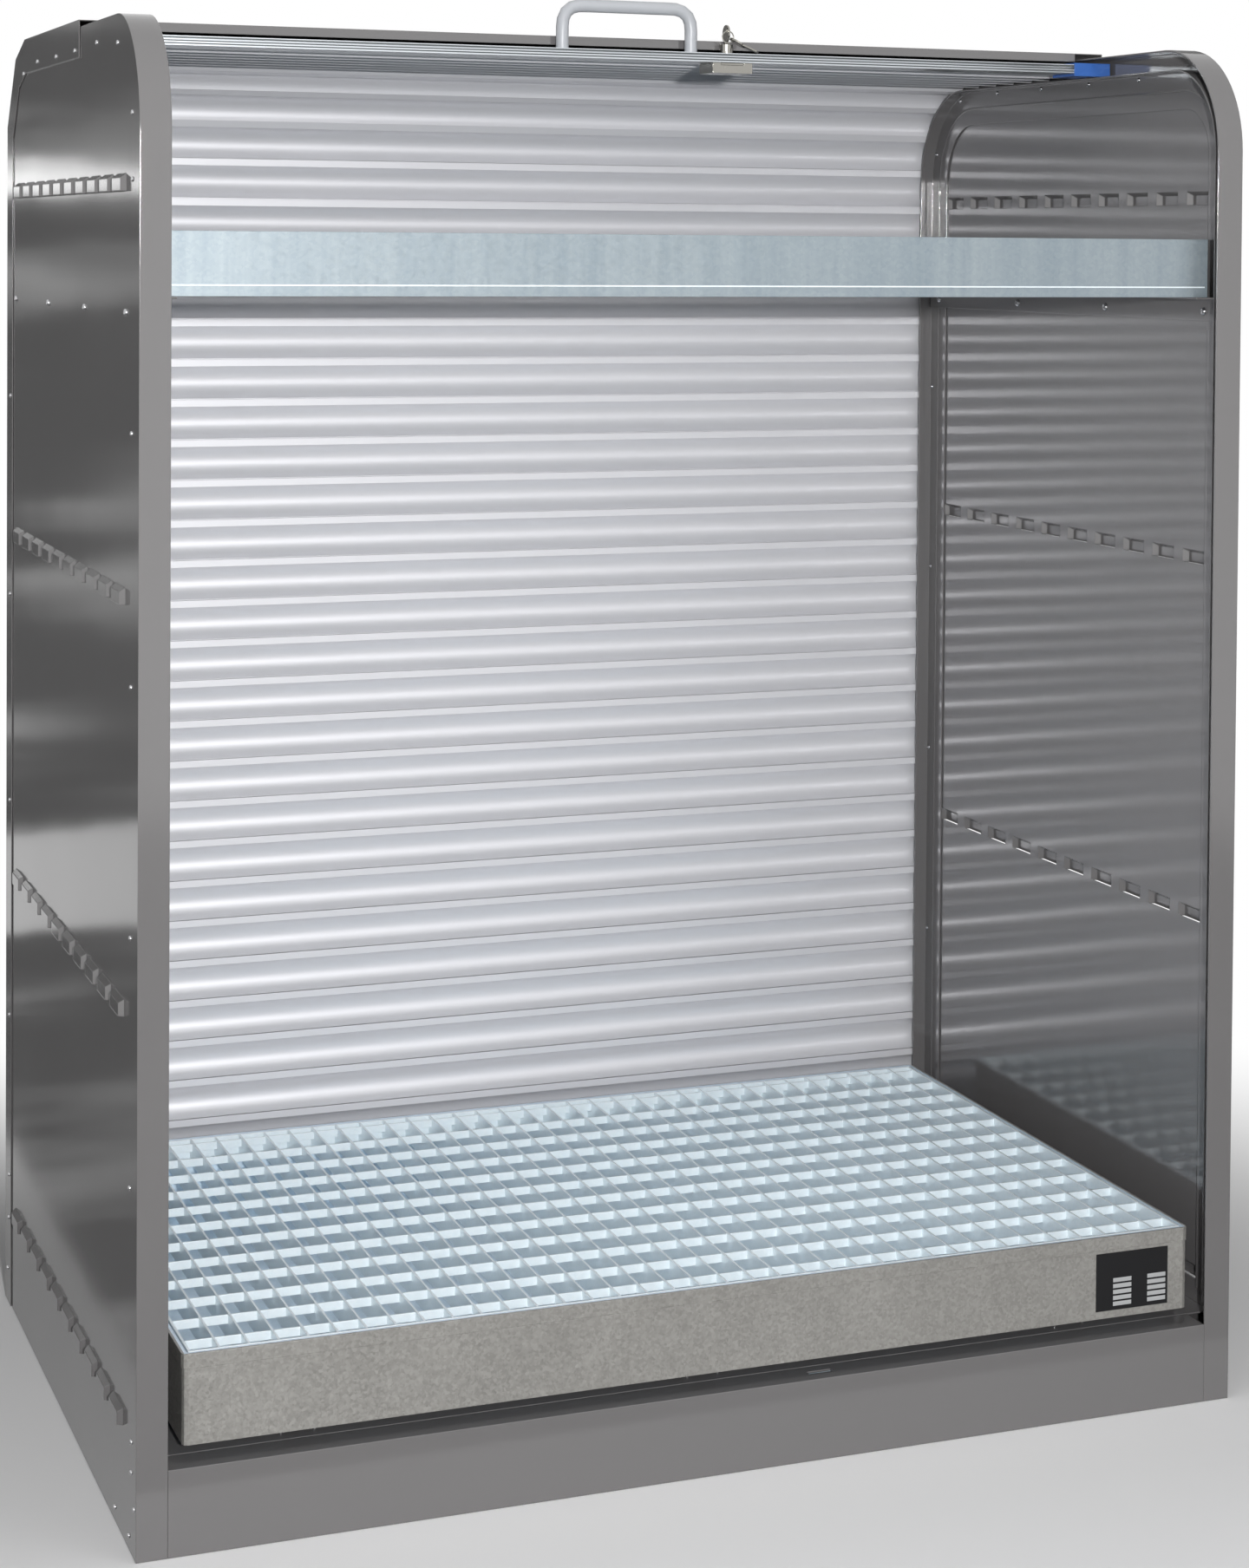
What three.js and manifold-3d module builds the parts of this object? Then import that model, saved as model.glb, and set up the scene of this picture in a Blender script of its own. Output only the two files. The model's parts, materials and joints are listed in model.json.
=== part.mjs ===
// Hazardous materials cabinet with a roller shutter, in millimetres, +Z up, front towards -Y.
// The origin is on the floor at the middle of the footprint. The shutter is shown fully open.
import * as THREE from "three";
import { mergeVertices } from "three/addons/utils/BufferGeometryUtils.js";
import Module from "manifold-3d";

const wasm = await Module();
wasm.setup();

// Driving dimensions
const cabinet = {
  width: 1340, // over the side walls
  depth: 890,
  height: 1658, // to the top of the side walls
  sheet: 2, // wall, rim and plinth sheet
  frontRadius: 130, // front top corner of the side walls
  rearRadius: 156, // circle that the bent rear top corner goes round
  arcSteps: 16,
};
const cover = {
  sheet: 1.2,
  reach: 373, // from the middle of the rear corner to the cover's front edge
  lip: 11, // turned down at the front edge
  flap: 44,
  rise: 6.8, // space above the walls' top and behind their rear
};
const plinth = { height: 95, topFlange: 40, bottomFlange: 30 };
const support = { count: 3, spacing: 480, width: 40, fromFront: 58, fromRear: 92, sheet: 2, height: 19.2 };

const gap = 0.3; // left between pieces that touch
const overrun = 5; // how far a cut runs past what it cuts
const halfWidth = cabinet.width / 2;
const front = -(cabinet.depth + cover.rise + cover.sheet) / 2;
const rear = front + cabinet.depth;
const wallInside = halfWidth - cabinet.sheet;

// Places and sizes of the shutter's path, measured inwards from the outline of the side walls
const track = {
  slatOuter: 6, // outer face of the slats
  slatInner: 20, // inner face of the slats
  hingeLine: 18, // line that the slats' joints follow
  guide: 24, // outer face of the guide's leg
};

const paint = { color: 0x7d7878, roughness: 0.25, metalness: 0.2 };
const galvanised = { color: 0xb4bcc2, roughness: 0.4, metalness: 0.9 };
const aluminium = { color: 0xc9ccd2, roughness: 0.35, metalness: 0.9 };
const nickel = { color: 0xb9b6ac, roughness: 0.25, metalness: 1 };
const bluePlastic = { color: 0x1f5fc4, roughness: 0.4, metalness: 0 };
const handlePaint = { color: 0xd4d7de, roughness: 0.4, metalness: 0.1 };

const group = new THREE.Group();

// Adds a named mesh to the group and returns it.
function addPiece(name, geometry, finish) {
  const mesh = new THREE.Mesh(geometry, new THREE.MeshStandardMaterial(finish));
  mesh.name = name;
  group.add(mesh);
  return mesh;
}

// A closed geometry as a solid for joining and cutting.
function solid(geometry) {
  const bare = geometry.index ? geometry.toNonIndexed() : geometry.clone();
  bare.deleteAttribute("normal");
  bare.deleteAttribute("uv");
  const merged = mergeVertices(bare, 1e-4);
  return new wasm.Manifold(
    new wasm.Mesh({
      numProp: 3,
      vertProperties: merged.attributes.position.array,
      triVerts: new Uint32Array(merged.index.array),
    }),
  );
}

// A solid as a geometry for a mesh.
function geometryOf(shape) {
  const mesh = shape.getMesh();
  const geometry = new THREE.BufferGeometry();
  geometry.setAttribute("position", new THREE.BufferAttribute(mesh.vertProperties, 3));
  geometry.setIndex(new THREE.BufferAttribute(mesh.triVerts, 1));
  geometry.computeVertexNormals();
  return geometry;
}

// A flat outline pushed through a length, with its own x and y turned onto two axes of the part.
function prism(points, from, to, across, up, holes = []) {
  const shape = new THREE.Shape(points.map(([a, b]) => new THREE.Vector2(a, b)));
  for (const hole of holes) shape.holes.push(new THREE.Path(hole.map(([a, b]) => new THREE.Vector2(a, b))));
  const geometry = new THREE.ExtrudeGeometry(shape, { depth: to - from, bevelEnabled: false });
  const along = new THREE.Vector3().crossVectors(across, up);
  geometry.translate(0, 0, from);
  geometry.applyMatrix4(new THREE.Matrix4().makeBasis(across, up, along));
  return geometry;
}

const axisX = new THREE.Vector3(1, 0, 0);
const axisY = new THREE.Vector3(0, 1, 0);
const axisZ = new THREE.Vector3(0, 0, 1);
// Outline in y and z, pushed along x.
const prismX = (points, from, to, holes) => prism(points, from, to, axisY, axisZ, holes);
// Outline in z and x, pushed along y.
const prismY = (points, from, to, holes) => prism(points, from, to, axisZ, axisX, holes);
// Outline in x and y, pushed along z.
const prismZ = (points, from, to, holes) => prism(points, from, to, axisX, axisY, holes);

// Corners of an upright rectangle.
const rectangle = (a0, b0, a1, b1) => [[a0, b0], [a1, b0], [a1, b1], [a0, b1]];

// A box between two corners, as a solid.
const block = (low, high) => solid(prismZ(rectangle(low[0], low[1], high[0], high[1]), low[2], high[2]));

// A solid with flat sides between two four-cornered faces given in the same order.
function frustum(low, high) {
  const corners = [...low, ...high];
  const sides = [0, 1, 2, 3].flatMap((i) => {
    const j = (i + 1) % 4;
    return [i, j + 4, j, i, i + 4, j + 4];
  });
  const faces = [0, 1, 2, 0, 2, 3, 4, 6, 5, 4, 7, 6, ...sides];
  const geometry = new THREE.BufferGeometry();
  geometry.setAttribute("position", new THREE.Float32BufferAttribute(corners.flat(), 3));
  geometry.setIndex(faces);
  return solid(geometry);
}

// Mirrors a geometry from the left side to the right side.
function mirrored(geometry) {
  const copy = (geometry.index ? geometry.toNonIndexed() : geometry.clone()).scale(-1, 1, 1);
  const place = copy.attributes.position;
  for (let i = 0; i < place.count; i += 3) {
    const [x, y, z] = [place.getX(i), place.getY(i), place.getZ(i)];
    place.setXYZ(i, place.getX(i + 2), place.getY(i + 2), place.getZ(i + 2));
    place.setXYZ(i + 2, x, y, z);
  }
  copy.computeVertexNormals();
  return copy;
}

// Points of an arc, both ends included, angles in degrees from +Y towards +Z.
function arc(y, z, radius, fromDegrees, toDegrees, steps = cabinet.arcSteps) {
  return Array.from({ length: steps + 1 }, (_, i) => {
    const angle = THREE.MathUtils.degToRad(fromDegrees + ((toDegrees - fromDegrees) * i) / steps);
    return [y + radius * Math.cos(angle), z + radius * Math.sin(angle)];
  });
}

const frontCentre = [front + cabinet.frontRadius, cabinet.height - cabinet.frontRadius];
const rearCentre = [rear - cabinet.rearRadius, cabinet.height - cabinet.rearRadius];

// The bent rear top corner of walls and cover goes round the slats in flat facets.
const facetDegrees = [0, 37.6, 73.2, 90];
function facetCorners(radius) {
  return facetDegrees.slice(1).map((degrees, i) => {
    const half = THREE.MathUtils.degToRad((degrees - facetDegrees[i]) / 2);
    const middle = THREE.MathUtils.degToRad((degrees + facetDegrees[i]) / 2);
    const reach = radius / Math.cos(half);
    return [rearCentre[0] + reach * Math.cos(middle), rearCentre[1] + reach * Math.sin(middle)];
  });
}

// The outline of a side wall, drawn in by an inset, from the rear foot over the top to the front foot.
function wallLine(inset, foot = 0) {
  return [
    [rear - inset, foot],
    ...facetCorners(cabinet.rearRadius - inset),
    ...arc(...frontCentre, cabinet.frontRadius - inset, 90, 180),
    [front + inset, foot],
  ];
}

// The line of the slats' path at a depth below the outline, round at both corners.
function trackLine(inset, foot) {
  return [
    [rear - inset, foot],
    ...arc(...rearCentre, cabinet.rearRadius - inset, 0, 90),
    ...arc(...frontCentre, cabinet.frontRadius - inset, 90, 180),
    [front + inset, foot],
  ];
}

// Side walls: a flat plate with rows of pressed louvres and a rim folded in all round the outline
const rim = { width: 34 };
const louvre = {
  rows: 4,
  perRow: 10,
  lowest: 123.7, // slit edge of the lowest row
  highestFromTop: 192.7,
  firstFromFront: 102, // middle of the first louvre
  lastFromRear: 97.7,
  length: 58,
  height: 18,
  bulge: 6,
  slope: 5, // how far the ends and the roof lean in over the bulge
  skin: 1.2,
  edge: 1.5, // the hood's edge below the opening in the wall
  slit: 1, // how far the hollow runs past the hood's edge
};
const louvreRise = (cabinet.height - louvre.lowest - louvre.highestFromTop) / (louvre.rows - 1);
const louvreStep = (cabinet.depth - louvre.firstFromFront - louvre.lastFromRear) / (louvre.perRow - 1);

// The four corners of one face of a louvre: y and z at a place across the wall.
function louvreFace(x, y, z, lean, drawIn, drop) {
  const half = louvre.length / 2 - lean - drawIn;
  const top = z + louvre.height - lean - drawIn;
  return [[x, y - half, z - drop], [x, y - half, top], [x, y + half, top], [x, y + half, z - drop]];
}

function sideWall() {
  const outside = -halfWidth;
  const plate = solid(prismX(wallLine(0), outside, outside + cabinet.sheet));
  const rimBand = solid(prismX(wallLine(0), outside, outside + rim.width)).subtract(
    solid(prismX(wallLine(cabinet.sheet, -overrun), outside - overrun, outside + rim.width + overrun)),
  );
  let wall = plate.add(rimBand);
  const bulgeFace = outside - louvre.bulge;
  for (let row = 0; row < louvre.rows; row += 1) {
    for (let i = 0; i < louvre.perRow; i += 1) {
      const y = front + louvre.firstFromFront + i * louvreStep;
      const z = louvre.lowest + row * louvreRise;
      const hood = frustum(
        louvreFace(bulgeFace, y, z, louvre.slope, 0, louvre.edge),
        louvreFace(outside + cabinet.sheet / 2, y, z, 0, 0, louvre.edge),
      );
      const hollow = frustum(
        louvreFace(bulgeFace + louvre.skin, y, z, louvre.slope, louvre.skin, louvre.edge + louvre.slit),
        louvreFace(outside + cabinet.sheet + louvre.slit, y, z, 0, louvre.skin, 0),
      );
      wall = wall.add(hood).subtract(hollow);
    }
  }
  return geometryOf(wall);
}

// Guide rails: an angle on each wall that holds the slats' ends, with a bead between its two strips
const guide = {
  leg: 21, // stands in from the wall
  thickness: 2,
  strip: 47, // lies on the wall
  bead: 3,
  beadAt: 23,
};
const guideFoot = plinth.height + support.height; // lower end of the rails, level with the tray's base

function guideBand(outerInset, innerInset, from, to) {
  const outer = trackLine(outerInset, guideFoot);
  const inner = trackLine(innerInset, guideFoot).reverse();
  return solid(prismX([...outer, ...inner], from, to));
}

function guideRail() {
  const wallFace = -wallInside + gap;
  const legEnd = track.guide + guide.thickness;
  const leg = guideBand(track.guide, legEnd, wallFace, wallFace + guide.leg);
  const stripStart = legEnd - guide.thickness / 2;
  const strip = guideBand(stripStart, legEnd + guide.strip, wallFace, wallFace + guide.thickness);
  const beadStart = legEnd + guide.beadAt;
  const bead = guideBand(beadStart, beadStart + guide.thickness, wallFace, wallFace + guide.bead);
  return geometryOf(leg.add(strip).add(bead));
}

// Rear cover: one bent sheet over the back and the rear of the top, with flaps lapped round the walls
const coverFront = rearCentre[0] - cover.reach;

function coverLine(inset, frontEnd) {
  const radius = cabinet.rearRadius + cover.rise + cover.sheet - inset;
  return [[rearCentre[0] + radius, 0], ...facetCorners(radius), [frontEnd, rearCentre[1] + radius]];
}

function rearCover() {
  const flapFace = halfWidth + gap;
  const outside = flapFace + cover.sheet;
  const edgeLine = coverLine(0, coverFront);
  const sheet = prismX([...edgeLine, ...coverLine(cover.sheet, coverFront).reverse()], -outside, outside);
  const flap = prismX([...edgeLine, ...coverLine(cover.flap, coverFront).reverse()], flapFace, outside);
  const top = rearCentre[1] + cabinet.rearRadius + cover.rise + cover.sheet;
  const lip = block([-outside, coverFront, top - cover.lip], [outside, coverFront + cover.sheet, top]);
  const bent = solid(sheet).add(solid(flap)).add(solid(mirrored(flap))).add(lip);
  const clearOfWalls = block(
    [-flapFace, coverFront - overrun, 0],
    [-flapFace + rim.width + overrun, coverFront + cover.sheet + overrun, top - cover.sheet],
  );
  const otherSide = clearOfWalls.mirror([1, 0, 0]);
  return geometryOf(bent.subtract(clearOfWalls).subtract(otherSide));
}

// Plinth front board, floor pan and the rails that carry the sump tray
const strike = { x: 133, length: 30, width: 8, plate: 46, plateWidth: 20, thickness: 2, setBack: 21.5 };
const pan = { skirt: 2, frontEdge: front + plinth.topFlange + cabinet.sheet + gap };
const supportLength = cabinet.depth - support.fromFront - support.fromRear;
const panRear = rear - track.guide - guide.thickness - gap;

function plinthFront() {
  const half = halfWidth - rim.width - gap;
  const inside = front + cabinet.sheet;
  const board = block([-half, front, 0], [half, inside, plinth.height]);
  const topBottom = plinth.height - cabinet.sheet;
  const top = block([-half, front, topBottom], [half, front + plinth.topFlange, plinth.height]);
  const bottom = block([-half, front, 0], [half, front + plinth.bottomFlange, cabinet.sheet]);
  const slotMiddle = front + strike.setBack;
  const slot = block(
    [strike.x - strike.length / 2, slotMiddle - strike.width / 2, topBottom - overrun],
    [strike.x + strike.length / 2, slotMiddle + strike.width / 2, plinth.height + overrun],
  );
  return geometryOf(board.add(top).add(bottom).subtract(slot));
}

function strikePlate() {
  const top = plinth.height - cabinet.sheet - gap;
  const outer = block(
    [strike.x - strike.plate / 2, front + strike.setBack - strike.plateWidth / 2, top - strike.thickness],
    [strike.x + strike.plate / 2, front + strike.setBack + strike.plateWidth / 2, top],
  );
  const slot = block(
    [strike.x - strike.length / 2, front + strike.setBack - strike.width / 2, 0],
    [strike.x + strike.length / 2, front + strike.setBack + strike.width / 2, plinth.height],
  );
  return geometryOf(outer.subtract(slot));
}

function floorPan() {
  const half = wallInside - gap;
  const body = block([-half, pan.frontEdge, 0], [half, panRear, plinth.height]);
  const hollow = block(
    [-half + pan.skirt, pan.frontEdge - overrun, -overrun],
    [half - pan.skirt, panRear - pan.skirt, plinth.height - pan.skirt],
  );
  let shell = body.subtract(hollow);
  for (let i = 0; i < support.count; i += 1) {
    const x = (i - (support.count - 1) / 2) * support.spacing;
    const start = front + support.fromFront;
    const top = plinth.height + support.height;
    const hat = block(
      [x - support.width / 2, start, plinth.height - pan.skirt / 2],
      [x + support.width / 2, start + supportLength, top],
    );
    const inside = block(
      [x - support.width / 2 + support.sheet, start - overrun, plinth.height],
      [x + support.width / 2 - support.sheet, start + supportLength + overrun, top - support.sheet],
    );
    shell = shell.add(hat.subtract(inside));
  }
  return geometryOf(shell);
}

// Sump tray: a folded pan with a hem and two ledges that carry the grating
const tray = {
  fromSide: 52.5,
  fromRear: 83,
  height: 99.5,
  fromFront: 12,
  sheet: 2.5,
  corner: 6, // radius of the upright corners
  leastCorner: 1.5, // radius of the same corners inside
  hem: 5, // thickness of the folded rim
  hemHeight: 16,
  hemProud: 1, // how far the folded rim stands out
  ledge: 24,
};
const trayWidth = cabinet.width - 2 * tray.fromSide;
const trayDepth = cabinet.depth - tray.fromFront - tray.fromRear;
const trayBase = plinth.height + support.height + gap;
const trayTop = trayBase + tray.height;
const trayFront = front + tray.fromFront;
const trayMiddle = trayFront + trayDepth / 2;

// A rectangle with round corners, drawn in from the tray's outline.
function roundedTray(width, depth, radius) {
  const points = [];
  const corners = [[1, 1], [-1, 1], [-1, -1], [1, -1]];
  corners.forEach(([sx, sy], i) => {
    const centre = [sx * (width / 2 - radius), trayMiddle + sy * (depth / 2 - radius)];
    points.push(...arc(...centre, radius, i * 90, i * 90 + 90, 2));
  });
  return points;
}

const grate = {
  clearance: 2, // round its edge, inside the hem
  bar: 2.5,
  edge: 3,
  height: 30,
  cellsAcross: 37,
  crossHeight: 10,
  crossBars: 12,
  firstCross: 38, // from the front edge to the first cross bar
  lastCross: 17, // from the last cross bar to the rear edge
};

function sumpTray() {
  const inset = (wall) =>
    roundedTray(trayWidth - 2 * wall, trayDepth - 2 * wall, Math.max(tray.corner - wall, tray.leastCorner));
  const band = solid(prismZ(inset(-tray.hemProud), trayTop - tray.hemHeight, trayTop));
  const outer = solid(prismZ(inset(0), trayBase, trayTop)).add(band);
  const lower = solid(prismZ(inset(tray.sheet), trayBase + tray.sheet, trayTop - tray.hemHeight));
  const upper = solid(prismZ(inset(tray.hem), trayTop - tray.hemHeight - tray.sheet, trayTop + overrun));
  const ledgeTop = trayTop - grate.height - gap;
  const ledges = [trayFront, trayFront + trayDepth - tray.ledge].map((y) =>
    block(
      [-trayWidth / 2 + tray.corner, y, ledgeTop - tray.sheet],
      [trayWidth / 2 - tray.corner, y + tray.ledge, ledgeTop],
    ),
  );
  const shell = outer.subtract(lower).subtract(upper);
  return geometryOf(shell.add(ledges[0]).add(ledges[1]));
}

// Pressed grating: deep bars front to back, shallow cross bars level with their tops, and a flat edge bar
function grating() {
  const width = trayWidth - 2 * (tray.hem + grate.clearance);
  const depth = trayDepth - 2 * (tray.hem + grate.clearance);
  const [left, near, bottom] = [-width / 2, trayMiddle - depth / 2, trayTop - grate.height];
  const [low, middle, high] = [bottom - overrun, trayTop - grate.crossHeight, trayTop + overrun];
  const [start, end] = [near + grate.edge, near + depth - grate.edge];
  const step = (depth - grate.firstCross - grate.lastCross) / (grate.crossBars - 1);
  const notches = Array.from({ length: grate.crossBars }, (_, i) => {
    const y = near + grate.firstCross + i * step - grate.bar / 2;
    return [[y, high], [y, middle], [y + grate.bar, middle], [y + grate.bar, high]];
  });
  const outline = [[start, low], [start, high], ...notches.flat(), [end, high], [end, low]].reverse();
  const across = (width - 2 * grate.edge + grate.bar) / grate.cellsAcross;
  const cells = Array.from({ length: grate.cellsAcross }, (_, i) => {
    const x = left + grate.edge + i * across;
    return solid(prismX(outline, x, x + across - grate.bar));
  });
  const plate = block([left, near, bottom], [-left, near + depth, trayTop]);
  return geometryOf(plate.subtract(wasm.Manifold.compose(cells)));
}

// Shelf: a shallow pan on two bolted angles
const shelf = {
  fromSide: 26.5,
  fromFront: 35,
  fromRear: 75,
  fromTop: 307, // its bottom below the walls' top
  height: 70.7,
  sheet: 2,
  hem: 4,
  hemHeight: 12,
};
const angle = { leg: 40, height: 30, sheet: 2, clearance: 2 };
const shelfBottom = cabinet.height - shelf.fromTop;

function shelfTray() {
  const half = halfWidth - shelf.fromSide;
  const near = front + shelf.fromFront;
  const far = rear - shelf.fromRear;
  const top = shelfBottom + shelf.height;
  const cut = (wall, low, high) => block([-half + wall, near + wall, low], [half - wall, far - wall, high]);
  const pocket = cut(shelf.sheet, shelfBottom + shelf.sheet, top - shelf.hemHeight);
  const mouth = cut(shelf.hem, top - shelf.hemHeight - shelf.sheet, top + overrun);
  return geometryOf(cut(0, shelfBottom, top).subtract(pocket).subtract(mouth));
}

function shelfAngle() {
  const face = -(wallInside - gap - guide.bead - gap);
  const inset = track.guide + guide.thickness + angle.clearance;
  const top = shelfBottom - gap;
  const section = [
    [top - angle.height, face],
    [top - angle.height, face + angle.sheet],
    [top - angle.sheet, face + angle.sheet],
    [top - angle.sheet, face + angle.leg],
    [top, face + angle.leg],
    [top, face],
  ].reverse();
  return prismY(section, front + inset, rear - inset);
}

// Shutter: slats that hook into each other, each a curved band with a flat joint band along its top
const slat = {
  pitch: 54.2,
  skin: 1.5,
  end: 4, // between a slat's end and the wall
  bulge: 12.5, // how far the curved band bows out from the flat band
  bandFrom: 44, // where the flat band starts
  bandTo: 52.2,
  hook: 3.85, // turned out from the band's top edge
  step: 1.3, // where the next slat's lower edge stands
  lipOffset: 5.7, // lip behind the band below
  lip: 5.2,
  lipHook: 2.85,
  arcSteps: 6,
  underCover: 26.1, // the leading bar's joint behind the cover's front edge, when the shutter is open
  tail: 105, // the lowest slat stays above this height
};
const slatHalf = wallInside - slat.end;
const pathRadius = cabinet.rearRadius - track.hingeLine;
const arcLength = (Math.PI / 2) * pathRadius;
const barJoint = coverFront + slat.underCover;

// A point of the hinge line at a distance along it, counted from where the rear corner starts.
function onPath(s) {
  if (s < 0) return [rearCentre[0] + pathRadius, rearCentre[1] + s];
  if (s > arcLength) return [rearCentre[0] + arcLength - s, rearCentre[1] + pathRadius];
  const turn = s / pathRadius;
  return [rearCentre[0] + pathRadius * Math.cos(turn), rearCentre[1] + pathRadius * Math.sin(turn)];
}

// The joint before this one: back along the path, one slat pitch away in a straight line.
function jointBefore(s) {
  const [y, z] = onPath(s);
  let low = s - slat.pitch * 2;
  let high = s;
  for (let i = 0; i < 40; i += 1) {
    const middle = (low + high) / 2;
    const [by, bz] = onPath(middle);
    if (Math.hypot(by - y, bz - z) > slat.pitch) low = middle;
    else high = middle;
  }
  return (low + high) / 2;
}

// The joints along the path, from the lowest slat's own to the leading bar's.
function slatJoints() {
  const joints = [rearCentre[0] + arcLength - barJoint];
  let before = jointBefore(joints[0]);
  while (onPath(before)[1] > slat.tail) {
    joints.unshift(before);
    before = jointBefore(before);
  }
  return joints;
}

// A line of points given a thickness, as a closed outline with mitred corners.
function thickened(points, thickness) {
  const side = (sign) =>
    points.map(([a, b], i) => {
      const before = points[Math.max(i - 1, 0)];
      const after = points[Math.min(i + 1, points.length - 1)];
      const inward = new THREE.Vector2(a - before[0], b - before[1]).normalize();
      const outward = new THREE.Vector2(after[0] - a, after[1] - b).normalize();
      if (i === 0) inward.copy(outward);
      if (i === points.length - 1) outward.copy(inward);
      const along = inward.clone().add(outward).normalize();
      const reach = (sign * thickness) / 2 / along.dot(inward);
      return [a - along.y * reach, b + along.x * reach];
    });
  return [...side(1), ...side(-1).reverse()];
}

// The slat's middle line in its own frame: first number outwards, second along the travel.
function slatLine() {
  const band = -(track.slatInner - track.hingeLine) + slat.skin / 2;
  const span = slat.bandFrom - slat.step;
  const depth = slat.bulge - slat.skin;
  const radius = (span * span) / (8 * depth) + depth / 2;
  const middle = slat.step + span / 2;
  const half = Math.asin(span / 2 / radius);
  const bow = Array.from({ length: slat.arcSteps + 1 }, (_, i) => {
    const turn = half * ((2 * i) / slat.arcSteps - 1);
    return [band + radius * Math.cos(turn) - radius + depth, middle + radius * Math.sin(turn)];
  });
  const lip = band + slat.lipOffset;
  return [
    [lip - slat.lipHook, slat.skin / 2 - slat.lip],
    [lip, slat.skin / 2 - slat.lip],
    [lip, slat.step],
    ...bow,
    [band, slat.bandTo],
    [band + slat.hook, slat.bandTo],
  ];
}

function shutter() {
  const profile = thickened(slatLine(), slat.skin);
  const geometry = prismX(profile, -slatHalf, slatHalf);
  const joints = slatJoints();
  const count = joints.length - 1;
  for (let i = 0; i < count; i += 1) {
    const [y0, z0] = onPath(joints[i]);
    const [y1, z1] = onPath(joints[i + 1]);
    const name = "slat_" + String(count - i).padStart(2, "0");
    const piece = addPiece(name, geometry.clone(), aluminium);
    piece.position.set(0, y0, z0);
    piece.rotation.x = Math.atan2(y0 - y1, z1 - z0);
  }
}

addPiece("side_wall_left", sideWall(), paint);
addPiece("side_wall_right", mirrored(sideWall()), paint);
addPiece("rear_cover", rearCover(), paint);
addPiece("plinth_front", plinthFront(), paint);
addPiece("strike_plate", strikePlate(), galvanised);
addPiece("floor_pan", floorPan(), paint);
addPiece("guide_rail_left", guideRail(), paint);
addPiece("guide_rail_right", mirrored(guideRail()), paint);
addPiece("shelf_angle_left", shelfAngle(), paint);
addPiece("shelf_angle_right", mirrored(shelfAngle()), paint);
addPiece("shelf_tray", shelfTray(), galvanised);
addPiece("sump_tray", sumpTray(), galvanised);
addPiece("grating", grating(), galvanised);
shutter();

// Leading bar: a hollow section on the shutter's first edge, with the handle, the lock and slide caps
const bar = {
  depth: 60,
  wall: 2,
  drop: 2.5, // its top below the slats' outer face
  groove: 6, // depth of the groove along its front
  grooveHeight: 3.8,
  grooveAt: 2.6,
  face: 0.8, // front of the slats' hinge line
};
const cap = { end: 3, wrap: 1.6, runner: 3.4, length: 52 };
const barTop = cabinet.height - track.slatOuter - bar.drop;
const barBottom = cabinet.height - track.slatInner;
const barEnd = slatHalf - cap.end - gap;
const barFront = barJoint - bar.depth;
const barBack = barJoint - bar.face;

const lock = {
  x: strike.x,
  width: 53,
  depth: 46,
  height: 13,
  wall: 2,
  front: 2, // behind the bar's front edge
  setBack: 24, // of the barrel from the bar's front edge
  barrel: 8.5,
  clearance: 0.3,
  barrelTop: 12, // above the bar
  plug: 5,
};
const lockY = barFront + lock.setBack;

// A round bar or tube standing on z, as a solid.
function cylinder(radius, x, y, from, to, sides = 16) {
  const circle = Array.from({ length: sides }, (_, i) => {
    const turn = (2 * Math.PI * i) / sides;
    return [x + radius * Math.cos(turn), y + radius * Math.sin(turn)];
  });
  return solid(prismZ(circle, from, to));
}

function leadingBar() {
  const groove = [
    [barFront, barTop - bar.grooveAt],
    [barFront + bar.groove, barTop - bar.grooveAt],
    [barFront + bar.groove, barTop - bar.grooveAt - bar.grooveHeight],
    [barFront, barTop - bar.grooveAt - bar.grooveHeight],
  ];
  const outline = [
    [barFront, barBottom],
    [barBack, barBottom],
    [barBack, barTop],
    [barFront, barTop],
    ...groove,
  ];
  const inner = rectangle(
    barFront + bar.groove + bar.wall,
    barBottom + bar.wall,
    barBack - bar.wall,
    barTop - bar.wall,
  );
  const body = solid(prismX(outline.reverse(), -barEnd, barEnd, [inner]));
  const lipPlace = cabinet.height - track.slatInner + slat.skin / 2 + slat.lipOffset;
  const lipEnd = barJoint + slat.lip - slat.skin / 2;
  const lipLine = [
    [lipEnd, lipPlace - slat.lipHook],
    [lipEnd, lipPlace],
    [barBack - bar.wall, lipPlace],
  ];
  const lip = solid(prismX(thickened(lipLine, slat.skin), -barEnd, barEnd));
  const bore = cylinder(lock.barrel + lock.clearance, lock.x, lockY, barBottom - overrun, barTop + overrun);
  return geometryOf(body.add(lip).subtract(bore));
}

// A cap that wraps round the end of the bar and is open towards the slats.
function endCap() {
  const outer = -slatHalf;
  const low = barBottom - gap - cap.runner;
  const high = barTop + gap + cap.wrap;
  const near = barFront - gap - cap.wrap;
  const sleeve = block([outer, near, low], [outer + cap.length, barBack, high]);
  const pocket = block(
    [outer + cap.end, barFront - gap, barBottom - gap],
    [outer + cap.length + overrun, rear, barTop + gap],
  );
  return geometryOf(sleeve.subtract(pocket));
}

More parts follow.
